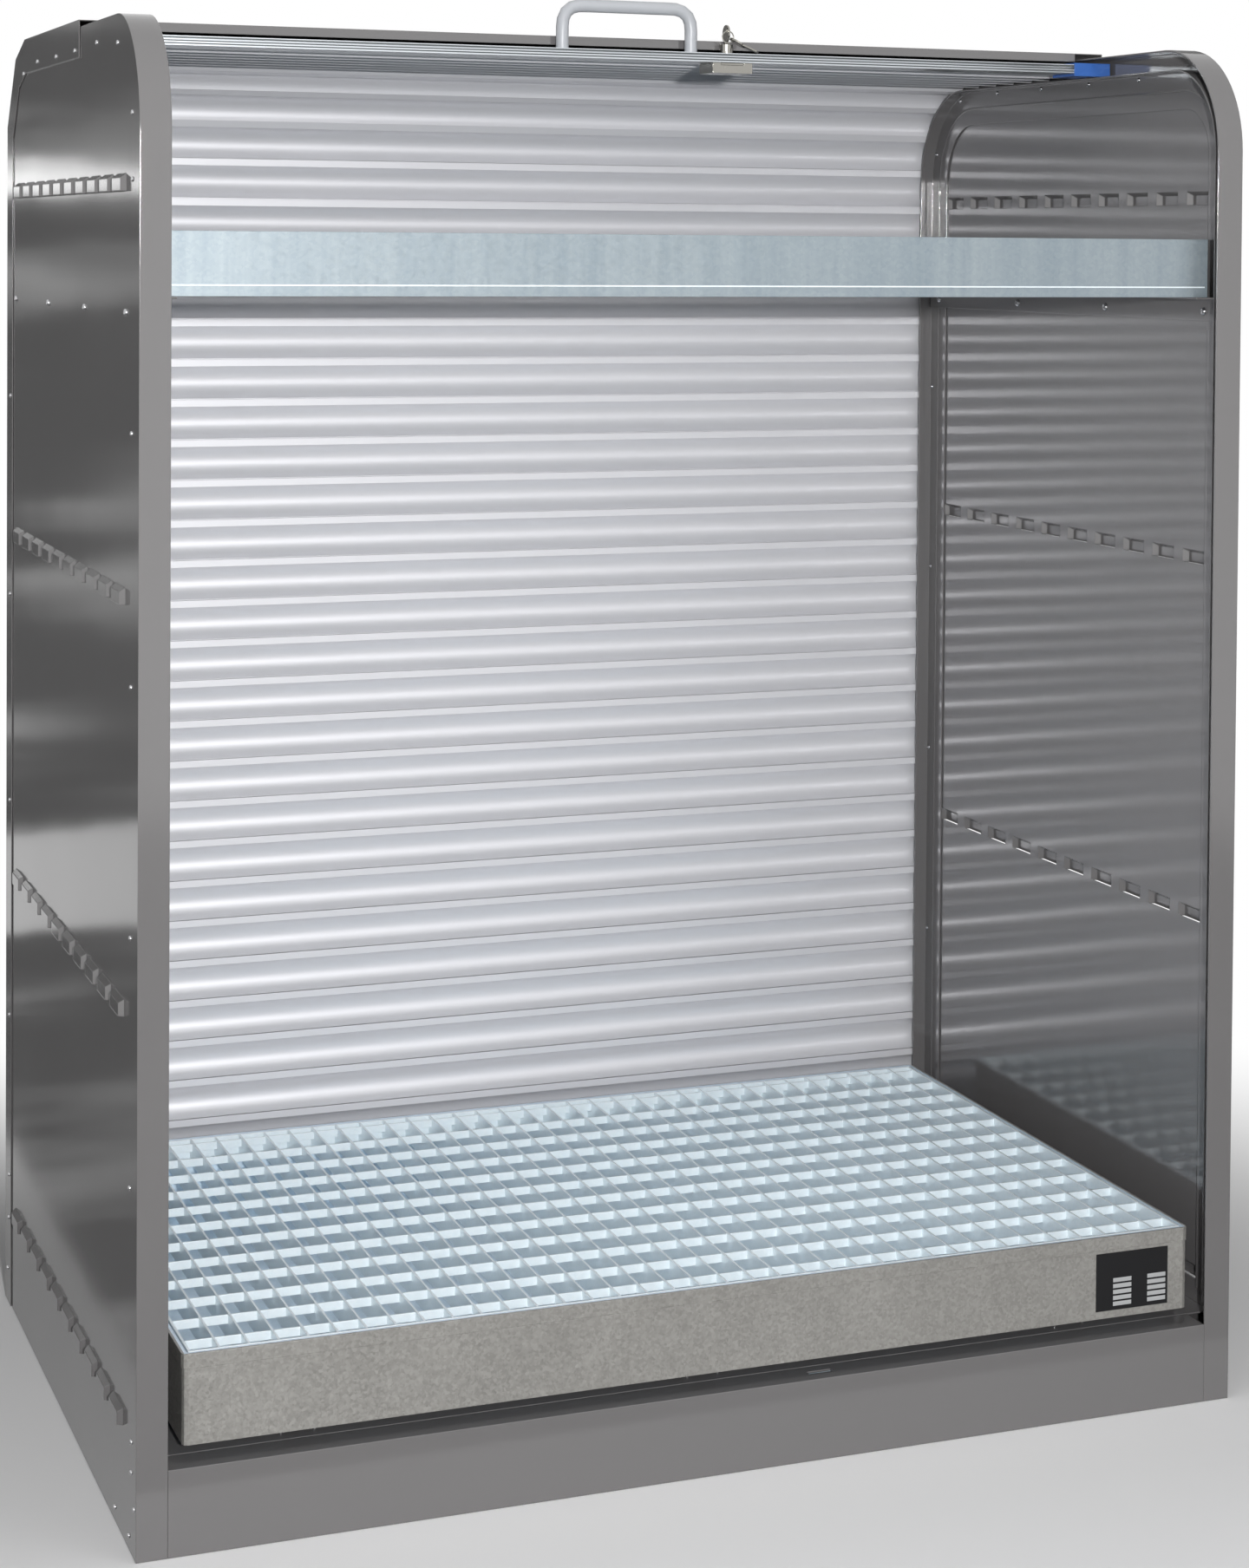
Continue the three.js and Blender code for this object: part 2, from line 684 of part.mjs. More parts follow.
const handle = { tube: 8, reach: 84.5, rise: 53.6, bend: 26, sides: 12, stopGap: 4 };
const handleY = coverFront - handle.stopGap - handle.tube;
function handleTube() {
  const foot = barTop + gap;
  const top = foot + handle.rise;
  const route = new THREE.CurvePath();
  const bend = (side) => {
    const from = new THREE.Vector3(side * handle.reach, handleY, top - handle.bend);
    const corner = new THREE.Vector3(side * handle.reach, handleY, top);
    const to = new THREE.Vector3(side * (handle.reach - handle.bend), handleY, top);
    return side < 0 ? [from, corner, to] : [to, corner, from];
  };
  const left = bend(-1);
  const right = bend(1);
  route.add(new THREE.LineCurve3(new THREE.Vector3(-handle.reach, handleY, foot), left[0]));
  route.add(new THREE.QuadraticBezierCurve3(...left));
  route.add(new THREE.LineCurve3(left[2], right[0]));
  route.add(new THREE.QuadraticBezierCurve3(...right));
  route.add(new THREE.LineCurve3(right[2], new THREE.Vector3(handle.reach, handleY, foot)));
  const ring = Array.from({ length: handle.sides }, (_, i) => {
    const turn = (2 * Math.PI * i) / handle.sides;
    return new THREE.Vector2(handle.tube * Math.cos(turn), handle.tube * Math.sin(turn));
  });
  const shape = new THREE.Shape(ring);
  return new THREE.ExtrudeGeometry(shape, { steps: 28, bevelEnabled: false, extrudePath: route });
}

// Lock: a housing under the bar, a barrel through it, a plug with a cam, and the bolt that the cam slides
const bolt = { width: 30, thickness: 2.6, under: 0.6, nose: 0.4, length: 40, pinSlot: 4.4, travel: 11.3 };
const camArm = { reach: 8, pin: 1.6, thickness: 2.2, clearance: 0.6, width: 7 };
const boltTop = barBottom - bolt.under;
const boltBottom = boltTop - bolt.thickness;
const boltFront = barFront + lock.front + bolt.nose;
const housingTop = barBottom - gap;
const housingBottom = housingTop - lock.height;

function lockHousing() {
  const [left, right] = [lock.x - lock.width / 2, lock.x + lock.width / 2];
  const near = barFront + lock.front;
  const outer = block([left, near, housingBottom], [right, near + lock.depth, housingTop]);
  const hollow = block(
    [left + lock.wall, near + lock.wall, housingBottom + lock.wall],
    [right - lock.wall, near + lock.depth - lock.wall, housingTop + overrun],
  );
  const slot = block(
    [lock.x - bolt.width / 2 - gap, near - overrun, boltBottom - gap],
    [lock.x + bolt.width / 2 + gap, near + lock.wall + overrun, housingTop + overrun],
  );
  return geometryOf(outer.subtract(hollow).subtract(slot));
}

function lockCylinder() {
  const top = barTop + lock.barrelTop;
  const barrel = cylinder(lock.barrel, lock.x, lockY, barBottom + gap, top, 24);
  const bore = cylinder(lock.plug + lock.clearance, lock.x, lockY, barBottom - overrun, top + overrun);
  return geometryOf(barrel.subtract(bore));
}

// The plug's cam points back to the right at rest, and a quarter turn brings its pin forwards.
function lockPlug() {
  const armTop = boltBottom - camArm.clearance;
  const armBottom = armTop - camArm.thickness;
  const top = barTop + lock.barrelTop - lock.clearance;
  const pinPlace = camArm.reach * Math.SQRT1_2;
  const arm = solid(
    new THREE.BoxGeometry(camArm.reach + camArm.pin * 2, camArm.width, camArm.thickness)
      .translate(camArm.reach / 2, 0, armBottom + camArm.thickness / 2)
      .rotateZ(Math.PI / 4)
      .translate(lock.x, lockY, 0),
  );
  const pin = cylinder(camArm.pin, lock.x + pinPlace, lockY + pinPlace, armBottom, boltTop - gap, 12);
  const keyway = block(
    [lock.x - key.thickness / 2 - key.clearance, lockY - key.blade / 2 - key.clearance, top - key.length],
    [lock.x + key.thickness / 2 + key.clearance, lockY + key.blade / 2 + key.clearance, top + overrun],
  );
  const plug = cylinder(lock.plug, lock.x, lockY, armBottom, top);
  return geometryOf(plug.add(arm).add(pin).subtract(keyway));
}

function lockBolt() {
  const [left, right] = [lock.x - bolt.width / 2, lock.x + bolt.width / 2];
  const plate = block([left, boltFront, boltBottom], [right, boltFront + bolt.length, boltTop]);
  const room = lock.plug + lock.clearance;
  const plugSlot = block(
    [lock.x - room, lockY - room, boltBottom - overrun],
    [lock.x + room, lockY + room + bolt.travel, boltTop + overrun],
  );
  const pinPlace = camArm.reach * Math.SQRT1_2;
  const pinSlot = block(
    [lock.x, lockY + pinPlace - bolt.pinSlot / 2, boltBottom - overrun],
    [lock.x + camArm.reach + camArm.pin * 2, lockY + pinPlace + bolt.pinSlot / 2, boltTop + overrun],
  );
  return geometryOf(plate.subtract(plugSlot).subtract(pinSlot));
}

// Keys: a flat bow with a hole for the ring, and a blade
const key = {
  bow: 11,
  hole: 2.6,
  holeUp: 4.5,
  holeOut: 5.5,
  blade: 6,
  length: 17,
  shoulder: 3,
  thickness: 2,
  clearance: 0.3,
};

// A key with its bow's middle at the origin and its blade pointing down, flat to the x axis.
function keyGeometry() {
  const round = (radius, y, z) =>
    Array.from({ length: 24 }, (_, i) => {
      const turn = (Math.PI * i) / 12;
      return [y + radius * Math.cos(turn), z + radius * Math.sin(turn)];
    });
  const half = key.thickness / 2;
  const bow = solid(prismX(round(key.bow, 0, 0), -half, half));
  const blade = solid(
    prismX(rectangle(-key.blade / 2, -key.bow - key.shoulder - key.length, key.blade / 2, 0), -half, half),
  );
  const hole = solid(prismX(round(key.hole, -key.holeOut, key.holeUp), -half - overrun, half + overrun));
  return geometryOf(bow.add(blade).subtract(hole));
}

// The ring hangs in the key's bow, and the spare key leans from the ring down to the bar.
const ring = { radius: 7.5, wire: 0.8, sides: 6, steps: 24, spareTurn: -25 };
const bowHeight = barTop + lock.barrelTop + key.shoulder + key.bow - key.clearance;
const ringDrop = key.hole - ring.wire - gap + ring.radius;
const ringCentre = new THREE.Vector3(lock.x, lockY - key.holeOut, bowHeight + key.holeUp - ringDrop);

function keyRing() {
  const torus = new THREE.TorusGeometry(ring.radius, ring.wire, ring.sides, ring.steps);
  return torus.rotateX(Math.PI / 2);
}

function placeSpareKey(piece) {
  const turn = THREE.MathUtils.degToRad(ring.spareTurn);
  const radial = new THREE.Vector3(Math.cos(turn), 0, Math.sin(turn));
  const wire = new THREE.Vector3(-Math.sin(turn), 0, Math.cos(turn));
  const blade = new THREE.Vector3(0.6, -0.7, -0.4).normalize();
  const normal = wire.clone().addScaledVector(blade, -wire.dot(blade)).normalize();
  const up = blade.clone().negate();
  const across = new THREE.Vector3().crossVectors(up, normal);
  piece.quaternion.setFromRotationMatrix(new THREE.Matrix4().makeBasis(normal, across, up));
  const hole = new THREE.Vector3(0, -key.holeOut, key.holeUp).applyQuaternion(piece.quaternion);
  piece.position.copy(ringCentre).addScaledVector(radial, ring.radius).sub(hole);
}

addPiece("leading_bar", leadingBar(), aluminium);
addPiece("end_cap_left", endCap(), bluePlastic);
addPiece("end_cap_right", mirrored(endCap()), bluePlastic);
addPiece("handle", handleTube(), handlePaint);
addPiece("lock_housing", lockHousing(), nickel);
addPiece("lock_cylinder", lockCylinder(), nickel);
addPiece("lock_plug", lockPlug(), nickel);
addPiece("lock_bolt", lockBolt(), nickel);
addPiece("key", keyGeometry(), nickel).position.set(lock.x, lockY, bowHeight);
addPiece("key_ring", keyRing(), nickel).position.copy(ringCentre);
placeSpareKey(addPiece("spare_key", keyGeometry(), nickel));

export default group;
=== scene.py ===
import json
import math

import bmesh
import bpy
from mathutils import Matrix, Vector


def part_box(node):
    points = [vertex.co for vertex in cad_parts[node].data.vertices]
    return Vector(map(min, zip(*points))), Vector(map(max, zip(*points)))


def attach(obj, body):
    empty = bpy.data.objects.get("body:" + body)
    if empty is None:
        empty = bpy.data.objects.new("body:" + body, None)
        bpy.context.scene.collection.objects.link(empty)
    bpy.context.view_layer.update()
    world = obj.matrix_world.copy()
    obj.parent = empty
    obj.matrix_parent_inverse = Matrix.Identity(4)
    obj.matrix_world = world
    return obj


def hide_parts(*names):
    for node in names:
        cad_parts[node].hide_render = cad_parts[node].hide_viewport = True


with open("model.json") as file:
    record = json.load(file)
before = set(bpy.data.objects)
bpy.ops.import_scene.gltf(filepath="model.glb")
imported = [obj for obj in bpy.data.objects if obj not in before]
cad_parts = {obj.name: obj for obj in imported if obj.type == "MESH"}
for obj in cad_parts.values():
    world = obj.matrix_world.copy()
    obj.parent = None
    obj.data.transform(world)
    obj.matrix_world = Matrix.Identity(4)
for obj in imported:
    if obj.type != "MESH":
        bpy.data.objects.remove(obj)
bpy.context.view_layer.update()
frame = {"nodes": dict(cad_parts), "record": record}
nodes = frame["nodes"]
print("cabinet loaded,", len(nodes), "pieces")

mm = 0.001
scene = bpy.context.scene


def addNode(tree, kind, x=0, y=0, **values):
    node = tree.nodes.new(kind)
    node.location = (x, y)
    for name, value in values.items():
        setattr(node, name, value)
    return node


def newTree(name, kind, inputs, outputs):  # each socket is (name, type, value)
    tree = bpy.data.node_groups.new(name, kind)
    for direction, sockets in (("INPUT", inputs), ("OUTPUT", outputs)):
        for socketName, socketType, value in sockets:
            socket = tree.interface.new_socket(socketName, in_out=direction, socket_type=socketType)
            if value is not None:
                socket.default_value = value
    return tree, addNode(tree, "NodeGroupInput", -1200), addNode(tree, "NodeGroupOutput", 1200)


def meshObject(name, verts, faces=(), edges=()):
    mesh = bpy.data.meshes.new(name)
    mesh.from_pydata([tuple(v) for v in verts], list(edges), [tuple(f) for f in faces])
    piece = bpy.data.objects.new(name, mesh)
    scene.collection.objects.link(piece)
    return piece


def runTree(piece, tree, values):  # runs the tree on the piece and leaves a plain mesh
    modifier = piece.modifiers.new(tree.name, "NODES")
    modifier.node_group = tree
    for item in tree.interface.items_tree:
        if item.item_type == "SOCKET" and item.in_out == "INPUT" and item.name in values:
            modifier[item.identifier] = values[item.name]
    bpy.context.view_layer.update()
    evaluated = piece.evaluated_get(bpy.context.evaluated_depsgraph_get())
    plain = bpy.data.meshes.new_from_object(evaluated)
    piece.modifiers.remove(modifier)
    piece.data = plain
    return piece


def place(piece, body, slotName, *stoodFor):
    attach(piece, body)
    if stoodFor:
        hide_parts(*stoodFor)
    return piece


# Camera where the photographer stood, and the light of a pale studio
cameraSettings = {
    "place": (-1.300, -3.7104, 1.413),
    "yaw": 0.3826,  # from straight back towards the right
    "pitch": -0.0261,
    "roll": 0.008,
    "lens": 89.11,
    "shiftX": -0.0920,
    "shiftY": -0.3686,
}


def buildCamera(settings):
    yaw, pitch, roll = settings["yaw"], settings["pitch"], settings["roll"]
    ahead = Vector((math.sin(yaw), math.cos(yaw), 0))
    right = Vector((math.cos(yaw), -math.sin(yaw), 0))
    up = Vector((0, 0, 1))
    forward = ahead * math.cos(pitch) + up * math.sin(pitch)
    upright = up * math.cos(pitch) - ahead * math.sin(pitch)
    camRight = right * math.cos(roll) + upright * math.sin(roll)
    camUp = upright * math.cos(roll) - right * math.sin(roll)
    data = bpy.data.cameras.new("photoCamera")
    data.sensor_fit = "HORIZONTAL"
    data.sensor_width = 36
    data.lens = settings["lens"]
    data.shift_x = settings["shiftX"]
    data.shift_y = settings["shiftY"]
    data.clip_end = 60
    camera = bpy.data.objects.new("photoCamera", data)
    scene.collection.objects.link(camera)
    turn = Matrix((camRight, camUp, -forward)).transposed().to_4x4()
    camera.matrix_world = Matrix.Translation(settings["place"]) @ turn
    scene.camera = camera


lightSettings = {
    "worldFront": 0.15, "worldRear": 0.15,  # soft light of the room, brighter from the open side
    "lamps": {  # place, size and power
        "flashLamp": ((-1.12, -4.25, 1.54), 0.12, 142),  # beside the lens, so its shadows hide behind the pieces
        "frontLamp": ((-1.9, -4.6, 2.3), 1.8, 12),
        "fillLamp": ((2.6, -4.0, 2.2), 2.4, 12),
        "topLamp": ((-0.2, -1.0, 4.0), 1.6, 30),
    },
}


def areaLamp(name, spot, size, power, inGloss, target=(0, 0, 0.75)):
    data = bpy.data.lights.new(name, "AREA")
    data.size = size
    data.energy = power
    lamp = bpy.data.objects.new(name, data)
    scene.collection.objects.link(lamp)
    lamp.visible_glossy = inGloss
    lamp.location = spot
    lamp.rotation_euler = (Vector(target) - Vector(spot)).to_track_quat("-Z", "Y").to_euler()


def seenDirectly(tree, x=-600):  # 1 for camera, glossy and transmission rays
    path = addNode(tree, "ShaderNodeLightPath", x)
    first = addNode(tree, "ShaderNodeMath", x + 200, operation="MAXIMUM")
    second = addNode(tree, "ShaderNodeMath", x + 400, operation="MAXIMUM")
    tree.links.new(path.outputs["Is Camera Ray"], first.inputs[0])
    tree.links.new(path.outputs["Is Transmission Ray"], first.inputs[1])
    tree.links.new(first.outputs[0], second.inputs[0])
    tree.links.new(path.outputs["Is Glossy Ray"], second.inputs[1])
    return second.outputs[0]


def buildLight(settings):
    for name, (spot, size, power) in settings["lamps"].items():
        areaLamp(name, spot, size, power, name == "flashLamp")
    world = bpy.data.worlds.new("studio")
    scene.world = world
    world.use_nodes = True
    tree = world.node_tree
    tree.nodes.clear()
    output = addNode(tree, "ShaderNodeOutputWorld", 900)
    seen = addNode(tree, "ShaderNodeBackground", 400, 150)
    seen.inputs["Color"].default_value = (1, 1, 1, 1)
    light = addNode(tree, "ShaderNodeBackground", 400, -100)
    direction = addNode(tree, "ShaderNodeTexCoord", -600, -300)
    split = addNode(tree, "ShaderNodeSeparateXYZ", -400, -300)
    level = addNode(tree, "ShaderNodeMapRange", -100, -300)
    level.inputs["From Min"].default_value = 0.6
    level.inputs["From Max"].default_value = -0.6
    level.inputs["To Min"].default_value = settings["worldRear"]
    level.inputs["To Max"].default_value = settings["worldFront"]
    tree.links.new(direction.outputs["Generated"], split.inputs[0])
    tree.links.new(split.outputs["Y"], level.inputs["Value"])
    tree.links.new(level.outputs["Result"], light.inputs["Color"])
    mix = addNode(tree, "ShaderNodeMixShader", 650)
    tree.links.new(seenDirectly(tree), mix.inputs["Fac"])
    tree.links.new(light.outputs[0], mix.inputs[1])
    tree.links.new(seen.outputs[0], mix.inputs[2])
    tree.links.new(mix.outputs[0], output.inputs["Surface"])


floorSettings = {"reach": 14, "below": 0.5, "colour": (0.88, 0.88, 0.885), "fadeFrom": 0.85, "fadeTo": 1.9}


def buildFloor(settings):  # pale floor that passes softly into the white background
    reach = settings["reach"]
    low = -settings["below"] * mm
    corners = [(-reach, -reach, low), (reach, -reach, low), (reach, reach, low), (-reach, reach, low)]
    floor = meshObject("studioFloor", corners, [(0, 1, 2, 3)])
    material = bpy.data.materials.new("paleFloor")
    material.use_nodes = True
    tree = material.node_tree
    shader = tree.nodes["Principled BSDF"]
    shader.inputs["Base Color"].default_value = settings["colour"] + (1,)
    shader.inputs["Roughness"].default_value = 0.9
    shader.inputs["Specular IOR Level"].default_value = 0.1
    coordinate = addNode(tree, "ShaderNodeTexCoord", -1100, -300)
    distance = addNode(tree, "ShaderNodeVectorMath", -900, -300, operation="LENGTH")
    fade = addNode(tree, "ShaderNodeMapRange", -700, -300, interpolation_type="SMOOTHSTEP")
    fade.inputs["From Min"].default_value = settings["fadeFrom"]
    fade.inputs["From Max"].default_value = settings["fadeTo"]
    tree.links.new(coordinate.outputs["Object"], distance.inputs[0])
    tree.links.new(distance.outputs["Value"], fade.inputs["Value"])
    both = addNode(tree, "ShaderNodeMath", -300, -200, operation="MULTIPLY")
    tree.links.new(seenDirectly(tree, -900), both.inputs[0])
    tree.links.new(fade.outputs["Result"], both.inputs[1])
    white = addNode(tree, "ShaderNodeEmission", 0, -300)
    mix = addNode(tree, "ShaderNodeMixShader", 300)
    tree.links.new(both.outputs[0], mix.inputs["Fac"])
    tree.links.new(shader.outputs[0], mix.inputs[1])
    tree.links.new(white.outputs[0], mix.inputs[2])
    tree.links.new(mix.outputs[0], tree.nodes["Material Output"].inputs["Surface"])
    floor.data.materials.append(material)


# Grey cards beside the cabinet, seen only in its gloss, with brighter bands as windows would give
cardSettings = {
    "leftFloorCard": {"corners": ((-3.2, -0.7, 0.004), (-0.78, -0.7, 0.004), (-0.78, 4.9, 0.004), (-3.2, 4.9, 0.004)),
                      "grey": 0.11, "bright": 0.85, "axis": "Y", "from": 2.6, "to": 3.7, "patches": 0.45},
    "leftRearCard": {"corners": ((-3.2, 4.9, 0.0), (-0.72, 4.9, 0.0), (-0.72, 4.9, 3.4), (-3.2, 4.9, 3.4)),
                     "grey": 0.13, "bright": 2.1, "axis": "Z", "from": 1.60, "to": 1.63, "patches": 0.35},
    "rightCard": {"corners": ((2.4, -0.2, 0.0), (2.4, 5.0, 0.0), (2.4, 5.0, 3.2), (2.4, -0.2, 3.2)),
                  "grey": 0.22, "bright": 0.6, "axis": "Z", "from": 1.0, "to": 1.6, "patches": 0.6},
    "frontFloorCard": {"corners": ((-2.6, -4.6, 0.004), (2.6, -4.6, 0.004),
                                   (2.6, -0.62, 0.004), (-2.6, -0.62, 0.004)),
                       "grey": 0.28, "bright": 0.5, "axis": "Y", "from": 8, "to": 9, "patches": 0.5},
}


cardCloud = {
    "scale": 1.7, "detail": 4, "stretch": (0.8, 1.6, 4), "shift": 0.35, "patchFrom": 0.49, "patchTo": 0.75,
    "rise": (0.10, 0.14), "fall": (0.22, 0.15),  # where the band begins and ends, past the card's own places
}


def buildCards(settings, clouds):
    for name, card in settings.items():
        piece = meshObject(name, card["corners"], [(0, 1, 2, 3)])
        material = bpy.data.materials.new(name)
        material.use_nodes = True
        tree = material.node_tree
        tree.nodes.clear()
        output = addNode(tree, "ShaderNodeOutputMaterial", 1200)
        glow = addNode(tree, "ShaderNodeEmission", 1000)
        coordinate = addNode(tree, "ShaderNodeTexCoord", -700)
        cloud = addNode(tree, "ShaderNodeTexNoise", -400)
        cloud.inputs["Scale"].default_value = clouds["scale"]
        cloud.inputs["Detail"].default_value = clouds["detail"]
        stretch = addNode(tree, "ShaderNodeMapping", -550, 100)
        stretch.inputs["Scale"].default_value = clouds["stretch"]
        split = addNode(tree, "ShaderNodeSeparateXYZ", -400, -300)
        shifted = addNode(tree, "ShaderNodeMath", -200, -300, operation="MULTIPLY_ADD")
        shifted.inputs[1].default_value = clouds["shift"]
        rise = addNode(tree, "ShaderNodeMapRange", 0, -300, interpolation_type="SMOOTHSTEP")
        rise.inputs["From Min"].default_value = card["from"] + clouds["rise"][0]
        rise.inputs["From Max"].default_value = card["from"] + clouds["rise"][1]
        fall = addNode(tree, "ShaderNodeMapRange", 0, -600, interpolation_type="SMOOTHSTEP")
        fall.inputs["From Min"].default_value = card["to"] + clouds["fall"][0]
        fall.inputs["From Max"].default_value = card["to"] + clouds["fall"][1]
        band = addNode(tree, "ShaderNodeMath", 200, -400, operation="MULTIPLY")
        patch = addNode(tree, "ShaderNodeMapRange", 0, 200)
        patch.inputs["From Min"].default_value = clouds["patchFrom"]
        patch.inputs["From Max"].default_value = clouds["patchTo"]
        patch.inputs["To Max"].default_value = card["patches"]
        both = addNode(tree, "ShaderNodeMath", 400, operation="MAXIMUM")
        level = addNode(tree, "ShaderNodeMapRange", 700)
        level.inputs["To Min"].default_value = card["grey"]
        level.inputs["To Max"].default_value = card["bright"]
        tree.links.new(coordinate.outputs["Object"], stretch.inputs["Vector"])
        tree.links.new(stretch.outputs["Vector"], cloud.inputs["Vector"])
        tree.links.new(coordinate.outputs["Object"], split.inputs[0])
        tree.links.new(cloud.outputs["Fac"], shifted.inputs[0])
        tree.links.new(split.outputs[card["axis"]], shifted.inputs[2])
        tree.links.new(shifted.outputs[0], rise.inputs["Value"])
        tree.links.new(shifted.outputs[0], fall.inputs["Value"])
        tree.links.new(rise.outputs["Result"], band.inputs[0])
        tree.links.new(fall.outputs["Result"], band.inputs[1])
        tree.links.new(cloud.outputs["Fac"], patch.inputs["Value"])
        tree.links.new(band.outputs[0], both.inputs[0])
        tree.links.new(patch.outputs["Result"], both.inputs[1])
        tree.links.new(both.outputs[0], level.inputs["Value"])
        tree.links.new(level.outputs["Result"], glow.inputs["Color"])
        tree.links.new(glow.outputs[0], output.inputs["Surface"])
        piece.data.materials.append(material)
        for kind in ("camera", "diffuse", "shadow", "transmission", "volume_scatter"):
            setattr(piece, "visible_" + kind, False)


scene.view_settings.view_transform = "Standard"
buildCamera(cameraSettings)
buildLight(lightSettings)
buildFloor(floorSettings)
buildCards(cardSettings, cardCloud)
print("camera, lamps, floor and cards placed")


# Effects that several finishes share
def cloudGroup():  # a soft cloudy value round zero
    tree, source, result = newTree("softCloud", "ShaderNodeTree",
                                   [("Scale", "NodeSocketFloat", 3.0), ("Amount", "NodeSocketFloat", 0.1)],
                                   [("Value", "NodeSocketFloat", None)])
    coordinate = addNode(tree, "ShaderNodeTexCoord", -900, -200)
    noise = addNode(tree, "ShaderNodeTexNoise", -500)
    noise.inputs["Detail"].default_value = 5
    centre = addNode(tree, "ShaderNodeMath", -200, operation="SUBTRACT")
    centre.inputs[1].default_value = 0.5
    scaled = addNode(tree, "ShaderNodeMath", 100, operation="MULTIPLY")
    tree.links.new(coordinate.outputs["Object"], noise.inputs["Vector"])
    tree.links.new(source.outputs["Scale"], noise.inputs["Scale"])
    tree.links.new(noise.outputs["Fac"], centre.inputs[0])
    tree.links.new(centre.outputs[0], scaled.inputs[0])
    tree.links.new(source.outputs["Amount"], scaled.inputs[1])
    tree.links.new(scaled.outputs[0], result.inputs["Value"])
    return tree


def edgeGroup():  # rounds the light on folded and cut edges
    tree, source, result = newTree("softEdge", "ShaderNodeTree", [("Radius", "NodeSocketFloat", 0.001)],
                                   [("Normal", "NodeSocketVector", None)])
    bevel = addNode(tree, "ShaderNodeBevel", samples=6)
    tree.links.new(source.outputs["Radius"], bevel.inputs["Radius"])
    tree.links.new(bevel.outputs["Normal"], result.inputs["Normal"])
    return tree


def spangleGroup():  # crystals of the zinc coat, and long runs from the dip
    tree, source, result = newTree("zincSpangle", "ShaderNodeTree",
                                   [("Crystals", "NodeSocketFloat", 150.0), ("Runs", "NodeSocketFloat", 0.3)],
                                   [("Mask", "NodeSocketFloat", None), ("Grain", "NodeSocketFloat", None)])
    coordinate = addNode(tree, "ShaderNodeTexCoord", -1300)
    flakes = addNode(tree, "ShaderNodeTexVoronoi", -900, 200)
    blotch = addNode(tree, "ShaderNodeTexNoise", -900, -100)
    blotch.inputs["Scale"].default_value = 9
    blotch.inputs["Detail"].default_value = 8
    blotch.inputs["Roughness"].default_value = 0.7
    stretch = addNode(tree, "ShaderNodeMapping", -1100, -400)
    stretch.inputs["Scale"].default_value = (70, 70, 4)
    runs = addNode(tree, "ShaderNodeTexNoise", -900, -400)
    runs.inputs["Scale"].default_value = 1
    runs.inputs["Detail"].default_value = 4
    split = addNode(tree, "ShaderNodeSeparateColor", -700, 200)
    flakePart = addNode(tree, "ShaderNodeMath", -400, 200, operation="MULTIPLY")
    flakePart.inputs[1].default_value = 0.35
    blotchPart = addNode(tree, "ShaderNodeMath", -400, -100, operation="MULTIPLY_ADD")
    blotchPart.inputs[1].default_value = 0.65
    runPart = addNode(tree, "ShaderNodeMix", 0, -100)
    tree.links.new(coordinate.outputs["Object"], flakes.inputs["Vector"])
    tree.links.new(coordinate.outputs["Object"], blotch.inputs["Vector"])
    tree.links.new(coordinate.outputs["Object"], stretch.inputs["Vector"])
    tree.links.new(stretch.outputs["Vector"], runs.inputs["Vector"])
    tree.links.new(source.outputs["Crystals"], flakes.inputs["Scale"])
    tree.links.new(flakes.outputs["Color"], split.inputs["Color"])
    tree.links.new(split.outputs["Red"], flakePart.inputs[0])
    tree.links.new(blotch.outputs["Fac"], blotchPart.inputs[0])
    tree.links.new(flakePart.outputs[0], blotchPart.inputs[2])
    tree.links.new(source.outputs["Runs"], runPart.inputs["Factor"])
    tree.links.new(blotchPart.outputs[0], runPart.inputs[2])
    tree.links.new(runs.outputs["Fac"], runPart.inputs[3])
    tree.links.new(runPart.outputs[0], result.inputs["Mask"])
    tree.links.new(split.outputs["Green"], result.inputs["Grain"])
    return tree


softCloud = cloudGroup()
softEdge = edgeGroup()
zincSpangle = spangleGroup()


edges = {"zinc": 0.0009, "drawn": 0.0004, "plain": 0.0005}  # how far the light on an edge is rounded, in metres


def startMaterial(name, colour, roughness, metallic, edge):
    material = bpy.data.materials.new(name)
    material.use_nodes = True
    tree = material.node_tree
    shader = tree.nodes["Principled BSDF"]
    shader.inputs["Base Color"].default_value = colour + (1,)
    shader.inputs["Roughness"].default_value = roughness
    shader.inputs["Metallic"].default_value = metallic
    rounded = addNode(tree, "ShaderNodeGroup", -600, -700)
    rounded.node_tree = softEdge
    rounded.inputs["Radius"].default_value = edge
    tree.links.new(rounded.outputs["Normal"], shader.inputs["Normal"])
    return material, tree, shader, rounded.outputs["Normal"]


def addCloud(tree, shader, roughness, scale, amount):  # roughness that changes softly over the piece
    group = addNode(tree, "ShaderNodeGroup", -500, -200)
    group.node_tree = softCloud
    group.inputs["Scale"].default_value = scale
    group.inputs["Amount"].default_value = amount
    total = addNode(tree, "ShaderNodeMath", -250, -200, operation="ADD")
    total.inputs[1].default_value = roughness
    tree.links.new(group.outputs["Value"], total.inputs[0])
    tree.links.new(total.outputs[0], shader.inputs["Roughness"])


def addBump(tree, shader, under, source, height):  # a bump laid over the rounded edges
    bump = addNode(tree, "ShaderNodeBump", -300, -450)
    bump.inputs["Distance"].default_value = height
    bump.inputs["Strength"].default_value = 1
    tree.links.new(source, bump.inputs["Height"])
    tree.links.new(under, bump.inputs["Normal"])
    tree.links.new(bump.outputs["Normal"], shader.inputs["Normal"])
    return bump.outputs["Normal"]


